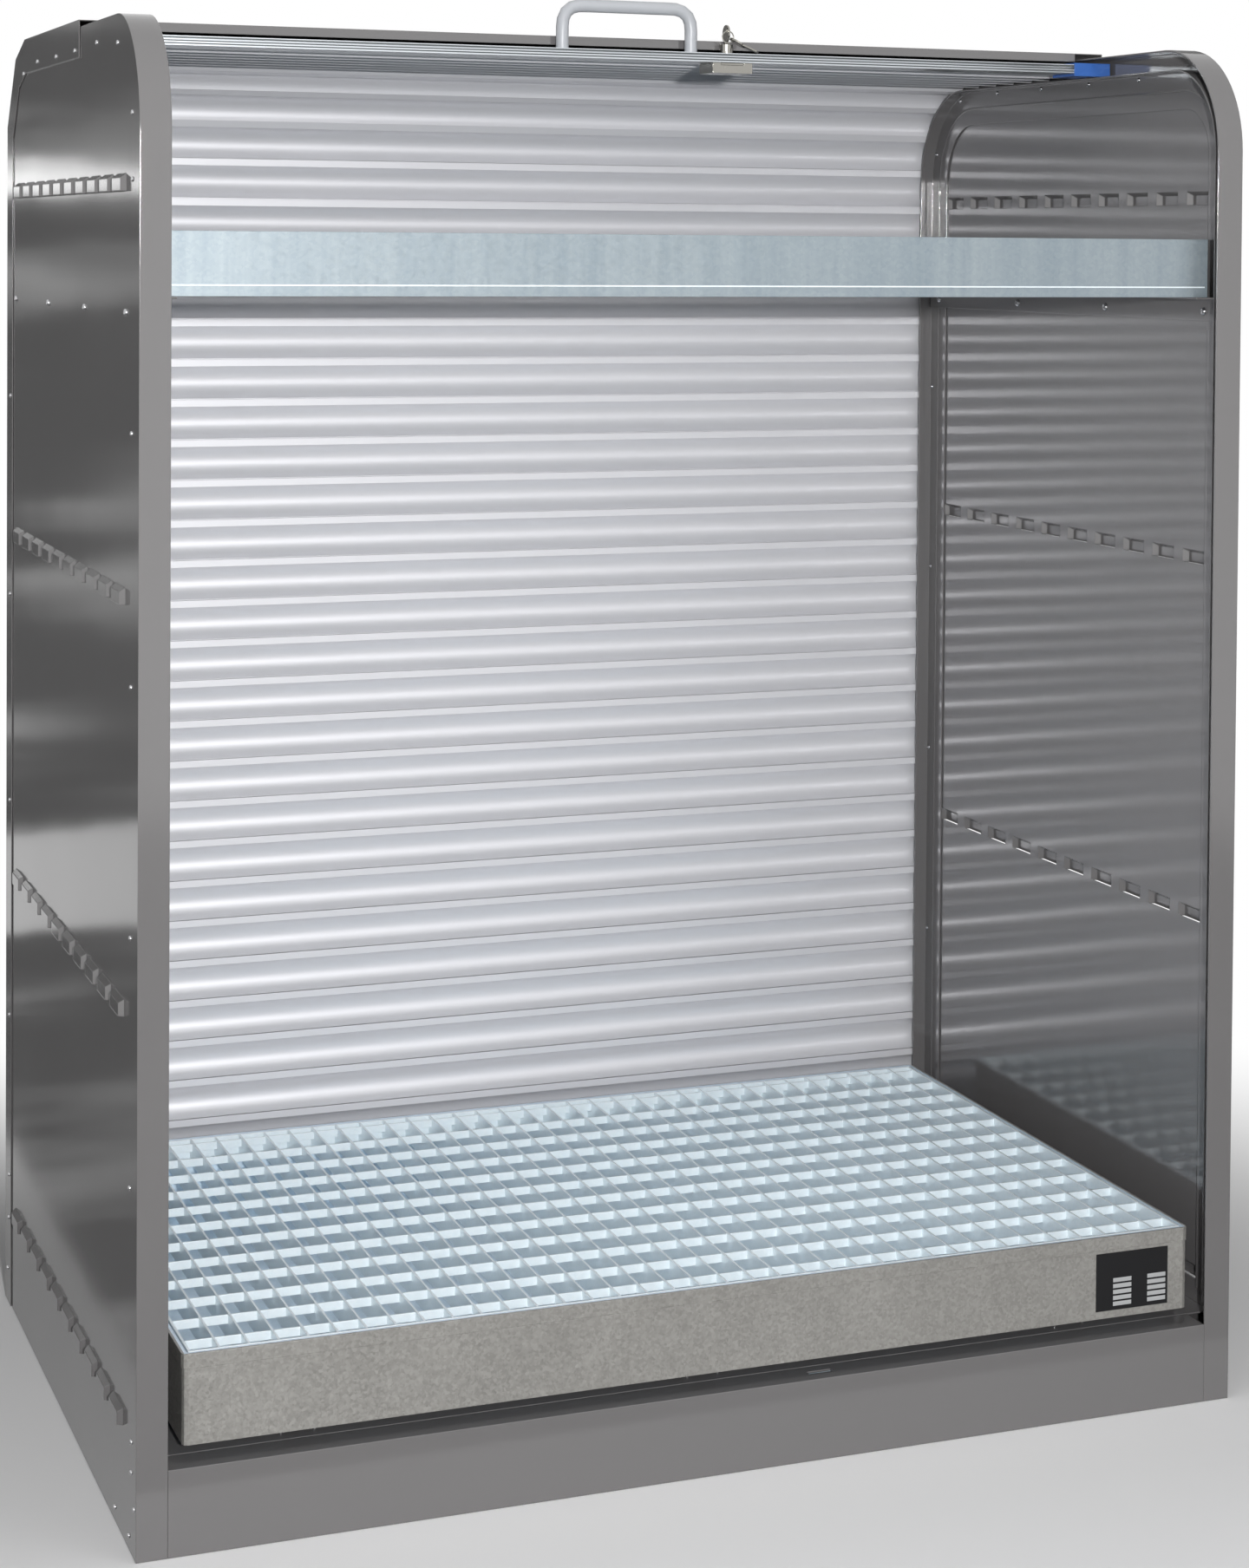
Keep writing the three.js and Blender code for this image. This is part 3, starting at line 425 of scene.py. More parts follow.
def addNoise(tree, scale, detail, x=-900, y=-450, stretch=None):
    coordinate = addNode(tree, "ShaderNodeTexCoord", x - 400, y)
    noise = addNode(tree, "ShaderNodeTexNoise", x, y)
    noise.inputs["Scale"].default_value = scale
    noise.inputs["Detail"].default_value = detail
    if stretch:
        mapping = addNode(tree, "ShaderNodeMapping", x - 200, y)
        mapping.inputs["Scale"].default_value = stretch
        tree.links.new(coordinate.outputs["Object"], mapping.inputs["Vector"])
        tree.links.new(mapping.outputs["Vector"], noise.inputs["Vector"])
    else:
        tree.links.new(coordinate.outputs["Object"], noise.inputs["Vector"])
    return noise.outputs["Fac"]


paintLook = {
    "colour": (0.142, 0.137, 0.138), "roughness": 0.10, "edge": 0.0016, "ior": 1.85,
    "waveScale": 3.2, "waveHeight": 0.0009, "peelScale": 700, "peelHeight": 0.00001,
}


def paintMaterial(look):  # gloss grey paint on slightly wavy sheet
    material, tree, shader, normal = startMaterial(
        "cabinetPaint", look["colour"], look["roughness"], 0.0, look["edge"])
    shader.inputs["IOR"].default_value = look["ior"]
    addCloud(tree, shader, look["roughness"], 2.5, 0.06)
    normal = addBump(tree, shader, normal, addNoise(tree, look["waveScale"], 1), look["waveHeight"])
    addBump(tree, shader, normal, addNoise(tree, look["peelScale"], 2, y=-900), look["peelHeight"])
    return material


zincLooks = {
    "shelf": {"dark": (0.235, 0.285, 0.32), "pale": (0.315, 0.36, 0.385), "metallic": 0.45, "roughness": 0.42,
              "crystals": 260, "runs": 0.6, "grain": 0.000008, "spread": 0.18},
    "tray": {"dark": (0.275, 0.268, 0.252), "pale": (0.37, 0.362, 0.342), "metallic": 0.45, "roughness": 0.38,
             "crystals": 330, "runs": 0.1, "grain": 0.000006, "spread": 0.18},
    # painted light: the grating's zinc is painted near white, a lit copy of the zinc standing in for the light that
    # falls on it
    "grating": {"dark": (0.86, 0.94, 0.98), "pale": (0.90, 0.97, 1.0), "metallic": 0.30, "roughness": 0.36,
                "crystals": 220, "runs": 0.0, "grain": 0.0, "spread": 0.03},
}


def zincMaterial(name, look):
    material, tree, shader, normal = startMaterial(name, look["pale"], look["roughness"], look["metallic"], edges["zinc"])
    spangle = addNode(tree, "ShaderNodeGroup", -800, 200)
    spangle.node_tree = zincSpangle
    spangle.inputs["Crystals"].default_value = look["crystals"]
    spangle.inputs["Runs"].default_value = look["runs"]
    ramp = addNode(tree, "ShaderNodeValToRGB", -400, 200)
    ramp.color_ramp.elements[0].position = 0.3
    ramp.color_ramp.elements[0].color = look["dark"] + (1,)
    ramp.color_ramp.elements[1].position = 0.7
    ramp.color_ramp.elements[1].color = look["pale"] + (1,)
    spread = addNode(tree, "ShaderNodeMath", -300, -100, operation="MULTIPLY_ADD")
    spread.inputs[1].default_value = look["spread"]
    spread.inputs[2].default_value = look["roughness"] - look["spread"] / 2
    tree.links.new(spangle.outputs["Mask"], ramp.inputs["Fac"])
    tree.links.new(ramp.outputs["Color"], shader.inputs["Base Color"])
    tree.links.new(spangle.outputs["Grain"], spread.inputs[0])
    tree.links.new(spread.outputs[0], shader.inputs["Roughness"])
    addBump(tree, shader, normal, spangle.outputs["Grain"], look["grain"])
    return material


slatLook = {"colour": (0.77, 0.77, 0.80), "roughness": 0.42, "metallic": 0.32, "drawHeight": 0.000015}


def slatMaterial(look):  # drawn aluminium with fine lines along its length
    material, tree, shader, normal = startMaterial(
        "slatAluminium", look["colour"], look["roughness"], look["metallic"], edges["drawn"])
    addCloud(tree, shader, look["roughness"], 4, 0.10)
    addBump(tree, shader, normal, addNoise(tree, 1, 2, stretch=(1, 900, 900)), look["drawHeight"])
    return material


def plainMaterial(name, colour, roughness, metallic, cloudScale=8, cloudAmount=0.1):
    material, tree, shader, _ = startMaterial(name, colour, roughness, metallic, edges["plain"])
    addCloud(tree, shader, roughness, cloudScale, cloudAmount)
    return material


def paintedLightInTray(material, look):  # painted light: the tray's inner faces are painted as pale and blue as the grating, standing in for the light and reflections that fall through it
    tree = material.node_tree
    shader = tree.nodes["Principled BSDF"]
    coordinate = addNode(tree, "ShaderNodeTexCoord", -900, 600)
    split = addNode(tree, "ShaderNodeSeparateXYZ", -700, 600)
    across = addNode(tree, "ShaderNodeMath", -500, 700, operation="ABSOLUTE")
    narrow = addNode(tree, "ShaderNodeMath", -300, 700, operation="LESS_THAN")
    narrow.inputs[1].default_value = look["halfWidth"]
    behind = addNode(tree, "ShaderNodeMath", -300, 500, operation="GREATER_THAN")
    behind.inputs[1].default_value = look["front"]
    inside = addNode(tree, "ShaderNodeMath", -100, 600, operation="MULTIPLY")
    mix = addNode(tree, "ShaderNodeMix", -100, 300, data_type="RGBA")
    mix.inputs["B"].default_value = look["colour"] + (1,)
    under = shader.inputs["Base Color"].links[0].from_socket
    tree.links.new(coordinate.outputs["Object"], split.inputs[0])
    tree.links.new(split.outputs["X"], across.inputs[0])
    tree.links.new(across.outputs[0], narrow.inputs[0])
    tree.links.new(split.outputs["Y"], behind.inputs[0])
    tree.links.new(narrow.outputs[0], inside.inputs[0])
    tree.links.new(behind.outputs[0], inside.inputs[1])
    tree.links.new(inside.outputs[0], mix.inputs["Factor"])
    tree.links.new(under, mix.inputs["A"])
    tree.links.new(mix.outputs["Result"], shader.inputs["Base Color"])


def ribShadeMaterial(name, look):  # drawn section with fine ribs along its length; the dark bands are painted shade, standing in for the shade in the grooves between the ribs
    material, tree, shader, _ = startMaterial(name, look["colour"], look["roughness"], look["metallic"], edges["drawn"])
    coordinate = addNode(tree, "ShaderNodeTexCoord", -1300, 300)
    ribs = addNode(tree, "ShaderNodeTexWave", -900, 300, bands_direction="Z")
    ribs.inputs["Scale"].default_value = look["ribs"]
    ramp = addNode(tree, "ShaderNodeValToRGB", -500, 300)
    ramp.color_ramp.elements[0].position = 0.25
    ramp.color_ramp.elements[0].color = look["dark"] + (1,)
    ramp.color_ramp.elements[1].position = 0.6
    ramp.color_ramp.elements[1].color = look["colour"] + (1,)
    tree.links.new(coordinate.outputs["Object"], ribs.inputs["Vector"])
    tree.links.new(ribs.outputs["Fac"], ramp.inputs["Fac"])
    tree.links.new(ramp.outputs["Color"], shader.inputs["Base Color"])
    return material


finishes = {
    "paint": paintMaterial(paintLook),
    "galvanised": zincMaterial("shelfZinc", zincLooks["shelf"]),
    "slats": slatMaterial(slatLook),
    "caps": plainMaterial("bluePlastic", (0.03, 0.12, 0.42), 0.38, 0.0),
    "handle": plainMaterial("handlePaint", (0.43, 0.445, 0.47), 0.35, 0.0),
    "lock": plainMaterial("nickelPlate", (0.36, 0.35, 0.32), 0.24, 1.0, 60, 0.2),
}
trayZinc = zincMaterial("trayZinc", zincLooks["tray"])
# painted light on the tray's inner faces, for the light falling through the grating
paintedLightInTray(trayZinc, {"halfWidth": 0.6157, "front": -0.4352, "colour": (0.72, 0.84, 0.94)})
# painted light: near-white zinc for the grating and the shelf's fold bead, standing in for the light they catch
paintedLitZinc = zincMaterial("paintedLitZinc", zincLooks["grating"])
# painted shade: dark stripes on the leading bar for its shaded grooves
barMetal = ribShadeMaterial("barAluminium", {"colour": (0.60, 0.63, 0.66), "dark": (0.10, 0.11, 0.115),
                                           "roughness": 0.3, "metallic": 0.8, "ribs": 90})
screwZinc = plainMaterial("screwZinc", (0.50, 0.50, 0.51), 0.25, 1.0, 90, 0.15)
plateBlack = plainMaterial("plateBlack", (0.010, 0.010, 0.011), 0.55, 0.0)
plateBlack.node_tree.nodes["Principled BSDF"].inputs["Specular IOR Level"].default_value = 0.2
plateSilver = plainMaterial("plateSilver", (0.62, 0.63, 0.64), 0.4, 0.7)

rows = {part["node"]: part for part in frame["record"]["subparts"]}
bodyOf = {node: body for body, held in frame["record"]["behaviour"]["bodies"].items() for node in held}
ownFinish = {"sump_tray": trayZinc, "grating": paintedLitZinc, "leading_bar": barMetal}
for name, part in rows.items():
    nodes[name].data.materials.clear()
    nodes[name].data.materials.append(ownFinish.get(name, finishes[part["material_slot"]]))
print("finishes on all pieces")


# Copies of the curved sheets and tubes, with their doubles merged and their curves shaded smooth
smoothAngles = {
    "side_wall_left": 16, "side_wall_right": 16, "guide_rail_left": 16, "guide_rail_right": 16,
    "handle": 45, "lock_cylinder": 40, "lock_plug": 40, "key_ring": 70,
}
squareTo = 0.99999  # a face this square to an axis is flat sheet


def cornerNormals(mesh, degrees):  # flat sheet keeps its own normal, and a curve runs into it without a crease
    limit = math.cos(math.radians(degrees))
    around = [{} for _ in mesh.vertices]
    for face in mesh.polygons:
        normal = face.normal.copy()
        for i in face.vertices:
            around[i][tuple(round(part, 3) for part in normal)] = normal
    result = []
    for face in mesh.polygons:
        own = face.normal.copy()
        for i in face.vertices:
            near = [other for other in around[i].values() if other.dot(own) > limit]
            flat = [other for other in near if max(abs(part) for part in other) > squareTo]
            if max(abs(part) for part in own) > squareTo:
                result.append(own)
            elif flat:
                result.append(flat[0])
            else:
                result.append(sum(near, Vector()).normalized())
    return result


def smoothCopy(name, degrees):
    source = nodes[name].data
    piece = meshObject(name + "_smooth", [v.co for v in source.vertices], [list(f.vertices) for f in source.polygons])
    work = bmesh.new()
    work.from_mesh(piece.data)
    bmesh.ops.remove_doubles(work, verts=work.verts, dist=0.01 * mm)
    work.to_mesh(piece.data)
    work.free()
    piece.data.shade_smooth()
    piece.data.normals_split_custom_set(cornerNormals(piece.data, degrees))
    piece.data.materials.append(ownFinish.get(name, finishes[rows[name]["material_slot"]]))
    return place(piece, bodyOf[name], rows[name]["material_slot"], name)


for name, degrees in smoothAngles.items():
    smoothCopy(name, degrees)
print("smooth copies made")


# Shutter slats: one section, repeated along the straight runs and turned one by one round the rear corner
slatShape = {
    "pitch": 54.2, "skin": 1.5, "bulge": 12.5, "bandFrom": 44, "bandTo": 52.2, "hook": 3.85, "step": 1.3,
    "lipOffset": 5.7, "lip": 5.2, "lipHook": 2.85, "arcSteps": 22, "half": 664.0, "inward": 2.0,
}
slatPath = {"centre": (285.0, 1502.0), "radius": 138.0, "cornerGap": 33.815, "below": 25, "above": 11}


def onPath(s, path):
    cy, cz = path["centre"]
    radius = path["radius"]
    arcLength = math.pi / 2 * radius
    if s < 0:
        return cy + radius, cz + s
    if s > arcLength:
        return cy + arcLength - s, cz + radius
    return cy + radius * math.cos(s / radius), cz + radius * math.sin(s / radius)


def nextJoint(s, path, pitch):  # the next joint is one pitch away in a straight line
    y, z = onPath(s, path)
    low, high = s, s + 2 * pitch
    for _ in range(40):  # halved far past any length that shows
        middle = (low + high) / 2
        ny, nz = onPath(middle, path)
        if math.hypot(ny - y, nz - z) < pitch:
            low = middle
        else:
            high = middle
    return (low + high) / 2


def slatPlaces(shape, path):  # joint and turn of each slat by its number, 1 at the leading bar
    places = {}
    s = -path["cornerGap"] - path["below"] * shape["pitch"]
    total = path["below"] + path["above"]
    for i in range(total):
        following = nextJoint(s, path, shape["pitch"])
        (y0, z0), (y1, z1) = onPath(s, path), onPath(following, path)
        places[total - i] = (y0, z0, math.atan2(y0 - y1, z1 - z0))
        s = following
    return places


def slatMiddle(shape):  # middle line of the section, outwards and along the travel
    band = -shape["inward"] + shape["skin"] / 2
    span = shape["bandFrom"] - shape["step"]
    depth = shape["bulge"] - shape["skin"]
    radius = span * span / (8 * depth) + depth / 2
    middle = shape["step"] + span / 2
    half = math.asin(span / 2 / radius)
    bow = []
    for i in range(shape["arcSteps"] + 1):
        turn = half * (2 * i / shape["arcSteps"] - 1)
        bow.append((band + radius * math.cos(turn) - radius + depth, middle + radius * math.sin(turn)))
    lip = band + shape["lipOffset"]
    foot = shape["skin"] / 2 - shape["lip"]
    return [(lip - shape["lipHook"], foot), (lip, foot), (lip, shape["step"]), *bow,
            (band, shape["bandTo"]), (band + shape["hook"], shape["bandTo"])]


def thickened(points, thickness):  # both sides of a line, with mitred corners
    sides = {1: [], -1: []}
    for i, (a, b) in enumerate(points):
        before, after = points[max(i - 1, 0)], points[min(i + 1, len(points) - 1)]
        inward = Vector((a - before[0], b - before[1]))
        outward = Vector((after[0] - a, after[1] - b))
        if i == 0:
            inward = outward.copy()
        if i == len(points) - 1:
            outward = inward.copy()
        inward.normalize()
        outward.normalize()
        along = (inward + outward).normalized()
        for sign, side in sides.items():
            reach = sign * thickness / 2 / along.dot(inward)
            side.append((a - along.y * reach, b + along.x * reach))
    return sides[1], sides[-1]


def slatBase(name, shape):  # one slat at the joint's own place, closed at both ends
    left, right = thickened(slatMiddle(shape), shape["skin"])
    half = shape["half"] * mm
    verts, faces = [], []
    count = len(left)
    for x in (-half, half):
        for side in (left, right):
            verts += [(x, y * mm, z * mm) for y, z in side]
    for i in range(count - 1):
        a, b = i, i + count  # the two sides at the left end
        c, d = a + 2 * count, b + 2 * count  # and at the right end
        faces += [(a, a + 1, c + 1, c), (b + 1, b, d, d + 1)]
        faces += [(a + 1, a, b, b + 1), (c, c + 1, d + 1, d)]
    last = count - 1
    faces += [(count, 0, 2 * count, 3 * count)]
    faces += [(last, count + last, 3 * count + last, 2 * count + last)]
    piece = meshObject(name, verts, faces)
    work = bmesh.new()
    work.from_mesh(piece.data)
    bmesh.ops.recalc_face_normals(work, faces=work.faces)
    work.to_mesh(piece.data)
    work.free()
    piece.data.shade_smooth()
    piece.data.set_sharp_from_angle(angle=math.radians(25))
    return piece


def slatRunTree():
    tree, source, result = newTree("slatRun", "GeometryNodeTree",
                                   [("Geometry", "NodeSocketGeometry", None), ("Count", "NodeSocketInt", 1),
                                    ("Start", "NodeSocketVector", (0, 0, 0)), ("Step", "NodeSocketVector", (0, 0, 0)),
                                    ("Turn", "NodeSocketFloat", 0.0), ("Finish", "NodeSocketMaterial", None)],
                                   [("Geometry", "NodeSocketGeometry", None)])
    line = addNode(tree, "GeometryNodeMeshLine", -900, 200)
    turn = addNode(tree, "ShaderNodeCombineXYZ", -900, -200)
    copies = addNode(tree, "GeometryNodeInstanceOnPoints", -500)
    solid = addNode(tree, "GeometryNodeRealizeInstances", -200)
    finish = addNode(tree, "GeometryNodeSetMaterial", 200)
    tree.links.new(source.outputs["Count"], line.inputs["Count"])
    tree.links.new(source.outputs["Start"], line.inputs["Start Location"])
    tree.links.new(source.outputs["Step"], line.inputs["Offset"])
    tree.links.new(source.outputs["Turn"], turn.inputs["X"])
    tree.links.new(line.outputs["Mesh"], copies.inputs["Points"])
    tree.links.new(source.outputs["Geometry"], copies.inputs["Instance"])
    tree.links.new(turn.outputs["Vector"], copies.inputs["Rotation"])
    tree.links.new(copies.outputs["Instances"], solid.inputs["Geometry"])
    tree.links.new(solid.outputs["Geometry"], finish.inputs["Geometry"])
    tree.links.new(source.outputs["Finish"], finish.inputs["Material"])
    tree.links.new(finish.outputs["Geometry"], result.inputs["Geometry"])
    return tree


slatRun = slatRunTree()


def slatNames(numbers):
    return ["slat_%02d" % number for number in numbers]


def buildShutter(shape, path):
    places = slatPlaces(shape, path)
    runs = [("rearCurtain", range(36, 12, -1), "rear_curtain", (0, 0, shape["pitch"] * mm)),
            ("topCurtain", range(6, 0, -1), "top_run", (0, -shape["pitch"] * mm, 0))]
    runs += [("curveSlat%02d" % n, [n], "curve_slat_%02d" % n, (0, 0, 0)) for n in range(12, 6, -1)]
    for name, numbers, body, step in runs:
        numbers = list(numbers)
        y, z, turn = places[numbers[0]]
        piece = slatBase(name, shape)
        runTree(piece, slatRun, {"Count": len(numbers), "Start": (0.0, y * mm, z * mm), "Step": step,
                                 "Turn": turn, "Finish": finishes["slats"]})
        place(piece, body, "slats", *slatNames(numbers))


buildShutter(slatShape, slatPath)
print("shutter slats made")


# Grating: bars front to back, slotted cross bars between them, and a flat edge bar
gratingShape = {
    "bar": 2.5, "edge": 3, "height": 30, "cellsAcross": 37, "crossHeight": 10, "crossBars": 12,
    "firstCross": 38, "lastCross": 17, "drop": 1.6, "slot": 1.1, "slotDepth": 6.5,
}


def barFieldTree():  # copies of one bar on a grid of steps
    tree, source, result = newTree("barField", "GeometryNodeTree",
                                   [("Geometry", "NodeSocketGeometry", None), ("Bar", "NodeSocketVector", (1, 1, 1)),
                                    ("Start", "NodeSocketVector", (0, 0, 0)), ("Across", "NodeSocketInt", 1),
                                    ("Step Across", "NodeSocketFloat", 0.0), ("Deep", "NodeSocketInt", 1),
                                    ("Step Deep", "NodeSocketFloat", 0.0), ("Finish", "NodeSocketMaterial", None)],
                                   [("Geometry", "NodeSocketGeometry", None)])
    bar = addNode(tree, "GeometryNodeMeshCube", -900, 300)
    stepAcross = addNode(tree, "ShaderNodeCombineXYZ", -900, 0)
    stepDeep = addNode(tree, "ShaderNodeCombineXYZ", -900, -200)
    lineAcross = addNode(tree, "GeometryNodeMeshLine", -600, 0)
    lineDeep = addNode(tree, "GeometryNodeMeshLine", -600, -300)
    row = addNode(tree, "GeometryNodeInstanceOnPoints", -300, 100)
    rowSolid = addNode(tree, "GeometryNodeRealizeInstances", -100, 100)
    field = addNode(tree, "GeometryNodeInstanceOnPoints", 100)
    both = addNode(tree, "GeometryNodeJoinGeometry", 300)
    solid = addNode(tree, "GeometryNodeRealizeInstances", 500)
    finish = addNode(tree, "GeometryNodeSetMaterial", 700)
    tree.links.new(source.outputs["Bar"], bar.inputs["Size"])
    tree.links.new(source.outputs["Step Across"], stepAcross.inputs["X"])
    tree.links.new(source.outputs["Step Deep"], stepDeep.inputs["Y"])
    tree.links.new(source.outputs["Across"], lineAcross.inputs["Count"])
    tree.links.new(source.outputs["Start"], lineAcross.inputs["Start Location"])
    tree.links.new(stepAcross.outputs[0], lineAcross.inputs["Offset"])
    tree.links.new(source.outputs["Deep"], lineDeep.inputs["Count"])
    tree.links.new(stepDeep.outputs[0], lineDeep.inputs["Offset"])
    tree.links.new(lineAcross.outputs["Mesh"], row.inputs["Points"])
    tree.links.new(bar.outputs["Mesh"], row.inputs["Instance"])
    tree.links.new(row.outputs["Instances"], rowSolid.inputs["Geometry"])
    tree.links.new(lineDeep.outputs["Mesh"], field.inputs["Points"])
    tree.links.new(rowSolid.outputs["Geometry"], field.inputs["Instance"])
    tree.links.new(field.outputs["Instances"], both.inputs["Geometry"])
    tree.links.new(source.outputs["Geometry"], both.inputs["Geometry"])
    tree.links.new(both.outputs["Geometry"], solid.inputs["Geometry"])
    tree.links.new(solid.outputs["Geometry"], finish.inputs["Geometry"])
    tree.links.new(source.outputs["Finish"], finish.inputs["Material"])
    tree.links.new(finish.outputs["Geometry"], result.inputs["Geometry"])
    return tree


barField = barFieldTree()


def buildGrating(shape):
    low, high = (Vector(corner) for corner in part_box("grating"))
    bar, edge, tall = shape["bar"] * mm, shape["edge"] * mm, shape["height"] * mm
    width, depth = high.x - low.x, high.y - low.y
    cell = (width - 2 * edge + bar) / shape["cellsAcross"]
    step = (depth - (shape["firstCross"] + shape["lastCross"]) * mm) / (shape["crossBars"] - 1)
    middleY, middleZ = (low.y + high.y) / 2, high.z - tall / 2
    firstCross = low.y + shape["firstCross"] * mm
    crossTop = high.z - shape["drop"] * mm
    slot, slotDepth = shape["slot"] * mm, shape["slotDepth"] * mm
    piece = meshObject("pressedGrating", [])
    fields = [
        {"Bar": (edge, depth, tall), "Start": (low.x + edge / 2, middleY, middleZ), "Across": 2,
         "Step Across": width - edge},
        {"Bar": (width - 2 * edge, edge, tall), "Start": (0.0, low.y + edge / 2, middleZ), "Deep": 2,
         "Step Deep": depth - edge},
        {"Bar": (bar, depth - 2 * edge, tall), "Start": (low.x + edge + cell - bar / 2, middleY, middleZ),
         "Across": shape["cellsAcross"] - 1, "Step Across": cell},
        {"Bar": (width - 2 * edge, bar, shape["crossHeight"] * mm - slotDepth),
         "Start": (0.0, firstCross, crossTop - slotDepth - (shape["crossHeight"] * mm - slotDepth) / 2),
         "Deep": shape["crossBars"], "Step Deep": step},
        {"Bar": (cell - bar - slot, bar, slotDepth),
         "Start": (low.x + edge + (cell - bar + slot) / 2, firstCross, crossTop - slotDepth / 2),
         "Across": shape["cellsAcross"], "Step Across": cell, "Deep": shape["crossBars"], "Step Deep": step},
    ]
    for field in fields:
        runTree(piece, barField, {"Across": 1, "Deep": 1, "Step Across": 0.0, "Step Deep": 0.0, **field,
                                  "Finish": paintedLitZinc})
    place(piece, bodyOf["grating"], "galvanised", "grating")


buildGrating(gratingShape)
print("grating made")


# Screws, rivets and bolts: one turned head, copied onto its places and turned to face out of the sheet
def headProfile(radius, height, socket):  # radius and height pairs from the rim to the middle
    return [(radius, -0.3), (radius, height * 0.25), (radius * 0.86, height * 0.72), (radius * 0.6, height),
            (socket, height), (socket * 0.75, height * 0.45)]


def fastenerBase(name, places, look):
    sides = look["sides"]
    profile = headProfile(look["radius"], look["height"], look["socket"])
    verts = [(r * mm * math.cos(2 * math.pi * k / sides), r * mm * math.sin(2 * math.pi * k / sides), z * mm)
             for r, z in profile for k in range(sides)]
    faces = []
    for ring in range(len(profile) - 1):
        for k in range(sides):
            a, b = ring * sides + k, ring * sides + (k + 1) % sides
            faces.append((a, b, b + sides, a + sides))
    faces.append(tuple(range(sides))[::-1])
    faces.append(tuple(range((len(profile) - 1) * sides, len(profile) * sides)))
    headCount = len(verts)
    piece = meshObject(name, verts + [tuple(c * mm for c in spot) for spot in places], faces)
    piece.data.shade_smooth()
    piece.data.set_sharp_from_angle(angle=math.radians(50))
    marks = piece.data.attributes.new("isPlace", "BOOLEAN", "POINT")
    for i in range(len(places)):
        marks.data[headCount + i].value = True
    return piece


def fastenerTree():
    tree, source, result = newTree("fastenerHeads", "GeometryNodeTree",
                                   [("Geometry", "NodeSocketGeometry", None),
                                    ("Facing", "NodeSocketVector", (0, 0, 1)),
                                    ("Finish", "NodeSocketMaterial", None)],
                                   [("Geometry", "NodeSocketGeometry", None)])
    mark = addNode(tree, "GeometryNodeInputNamedAttribute", -1000, -200, data_type="BOOLEAN")
    mark.inputs["Name"].default_value = "isPlace"
    parts = addNode(tree, "GeometryNodeSeparateGeometry", -800, domain="POINT")
    turn = addNode(tree, "FunctionNodeAlignRotationToVector", -600, -300, axis="Z")
    copies = addNode(tree, "GeometryNodeInstanceOnPoints", -300)
    solid = addNode(tree, "GeometryNodeRealizeInstances", 0)
    finish = addNode(tree, "GeometryNodeSetMaterial", 300)
    tree.links.new(source.outputs["Geometry"], parts.inputs["Geometry"])
    tree.links.new(mark.outputs["Attribute"], parts.inputs["Selection"])
    tree.links.new(source.outputs["Facing"], turn.inputs["Vector"])
    tree.links.new(parts.outputs["Selection"], copies.inputs["Points"])
    tree.links.new(parts.outputs["Inverted"], copies.inputs["Instance"])
    tree.links.new(turn.outputs["Rotation"], copies.inputs["Rotation"])
    tree.links.new(copies.outputs["Instances"], solid.inputs["Geometry"])
    tree.links.new(solid.outputs["Geometry"], finish.inputs["Geometry"])
    tree.links.new(source.outputs["Finish"], finish.inputs["Material"])
    tree.links.new(finish.outputs["Geometry"], result.inputs["Geometry"])
    return tree


fastenerHeads = fastenerTree()
screwLook = {"radius": 3.0, "height": 1.8, "socket": 1.3, "sides": 12}
rivetLook = {"radius": 3.6, "height": 0.9, "socket": 1.2, "sides": 12}
boltLook = {"radius": 5.2, "height": 3.6, "socket": 2.4, "sides": 12}
boltEndLook = {"radius": 4.2, "height": 2.6, "socket": 1.8, "sides": 12}

# Places from the front and the floor, in millimetres; the front is 449 mm before the middle
frontAt = -449
wallScrews = [(252, 1633), (125, 1626), (40, 1547), (40, 1476), (40, 1204), (40, 932), (40, 662), (40, 392),
              (27, 121), (27, 88), (120, 15), (10, 54), (39, 15)]
coverRivets = [(867, 1204.5), (867, 943), (867, 670), (867, 384.6), (867, 172), (870, 114), (878, 44),
               (762, 1622), (654, 1632), (515, 1631), (385, 1631)]
guideScrews = [(859, 1204), (859, 938), (859, 670), (859, 401), (859, 172), (851, 1545), (774, 1620.5),
               (655, 1627), (522, 1627), (386, 1627), (251, 1627), (98, 1621), (31, 1476), (31, 1204), (31, 932),
               (31, 662), (31, 392)]
shelfBolts = [(74.4, 1332.9), (326.3, 1332.9), (578.2, 1332.9), (830, 1332.9)]
wallOut, flapOut, guideIn, angleIn = 670, 671.5, 665.7, 662.4
rivetSink = 0.95  # so that the heads stay behind the cabinet's front


def buildFasteners():
    sets = [("wallScrews", wallScrews, wallOut, 1, screwLook), ("coverRivets", coverRivets, flapOut, 1, screwLook),
            ("guideScrews", guideScrews, guideIn, -1, screwLook), ("shelfBolts", shelfBolts, angleIn, -1, boltLook),
            ("shelfBoltEnds", shelfBolts, wallOut, 1, boltEndLook)]
    for name, spots, away, outwards, look in sets:
        for side, word in ((-1, "Left"), (1, "Right")):
            places = [(side * away, frontAt + y, z) for y, z in spots]
            piece = fastenerBase(name + word, places, look)
            runTree(piece, fastenerHeads, {"Facing": (float(side * outwards), 0.0, 0.0), "Finish": screwZinc})
            place(piece, "frame", "galvanised")
    places = [(x, frontAt + rivetSink, z) for x in (-644, 647.5) for z in (87, 7)]
    piece = fastenerBase("flangeRivets", places, rivetLook)
    runTree(piece, fastenerHeads, {"Facing": (0.0, -1.0, 0.0), "Finish": finishes["paint"]})
    place(piece, "frame", "paint")


buildFasteners()
print("screws, rivets and bolts made")


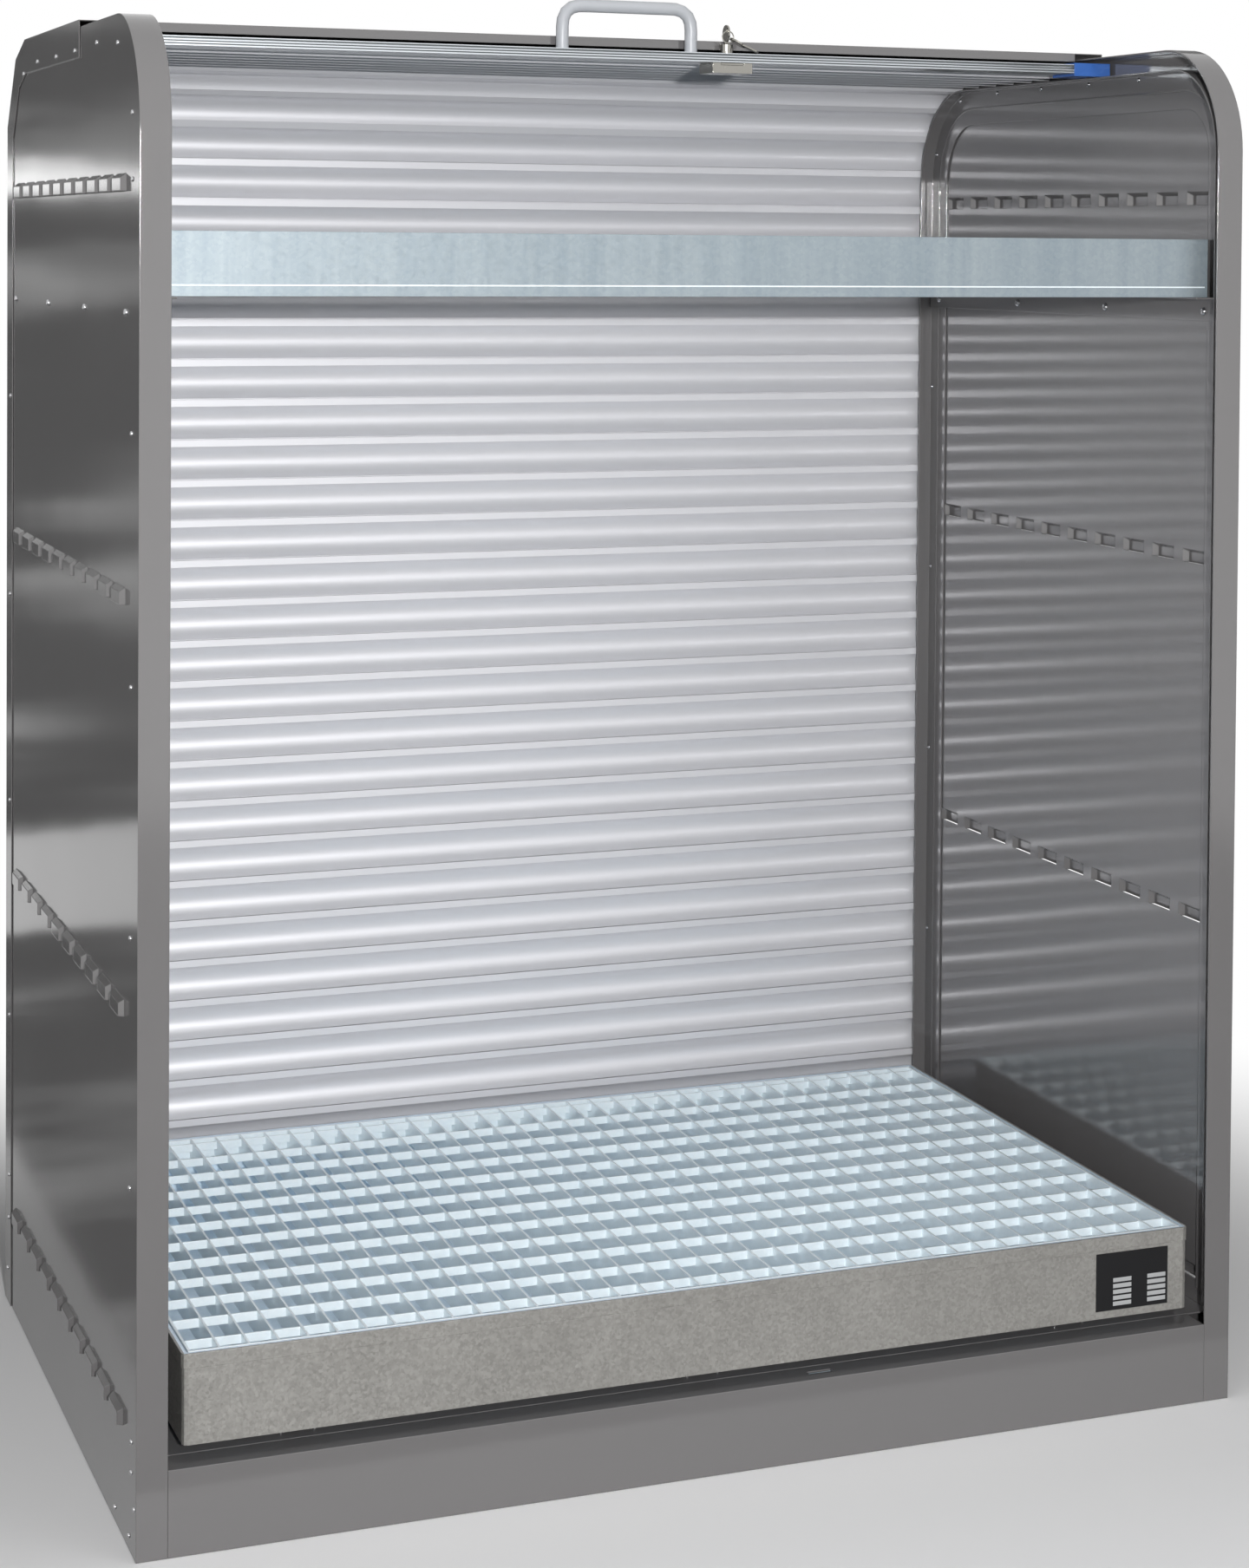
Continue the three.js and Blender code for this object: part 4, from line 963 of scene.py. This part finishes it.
# Data plate on the tray: a bare black plate with blank silver fields
plateShape = {
    "x": (492, 590), "z": (124, 194), "face": -437.0, "thick": 0.9, "columns": 2, "rows": 5, "fieldSize": (25, 5),
    "fieldFrom": (23, 5), "fieldStep": (47, 7.2), "fieldProud": 0.15, "sunk": 0.1, "gap": 0.02,
}


def boxPiece(name, boxes, material):  # closed boxes between pairs of corners, in millimetres
    verts, faces = [], []
    for (x0, y0, z0), (x1, y1, z1) in boxes:
        n = len(verts)
        verts += [(x * mm, y * mm, z * mm) for z in (z0, z1) for x, y in ((x0, y0), (x1, y0), (x1, y1), (x0, y1))]
        faces += [(n, n + 3, n + 2, n + 1), (n + 4, n + 5, n + 6, n + 7)]
        faces += [(n + i, n + (i + 1) % 4, n + 4 + (i + 1) % 4, n + 4 + i) for i in range(4)]
    piece = meshObject(name, verts, faces)
    piece.data.materials.append(material)
    return piece


def buildPlate(shape):
    (x0, x1), (z0, z1), face = shape["x"], shape["z"], shape["face"]
    front = face - shape["thick"]
    plate = boxPiece("dataPlate", [((x0, front, z0), (x1, face - shape["gap"], z1))], plateBlack)
    place(plate, "sump", "galvanised")
    (fromX, fromZ), (stepX, stepZ), (wide, tall) = shape["fieldFrom"], shape["fieldStep"], shape["fieldSize"]
    fields = []
    for column in range(shape["columns"]):
        for row in range(shape["rows"]):
            left = x0 + fromX + column * stepX
            low = z0 + fromZ + row * stepZ
            fields.append(((left, front - shape["fieldProud"], low),
                           (left + wide, front + shape["sunk"], low + tall)))
    place(boxPiece("plateFields", fields, plateSilver), "sump", "galvanised")


buildPlate(plateShape)


# Fold line along the foot of the shelf's front: a slim real bead, coloured in the near-white zinc as a painted
# highlight along the fold
foldShape = {"inset": 4, "proud": 0.7, "sunk": 0.3, "from": 11.4, "to": 13}


def buildLines(shape):
    low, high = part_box("shelf_tray")
    fold = boxPiece("shelfFoldHighlight", [
        ((low[0] / mm + shape["inset"], low[1] / mm - shape["proud"], low[2] / mm + shape["from"]),
         (high[0] / mm - shape["inset"], low[1] / mm + shape["sunk"], low[2] / mm + shape["to"]))], paintedLitZinc)
    place(fold, bodyOf["shelf_tray"], "galvanised")


buildLines(foldShape)
print("data plate and fold line made")
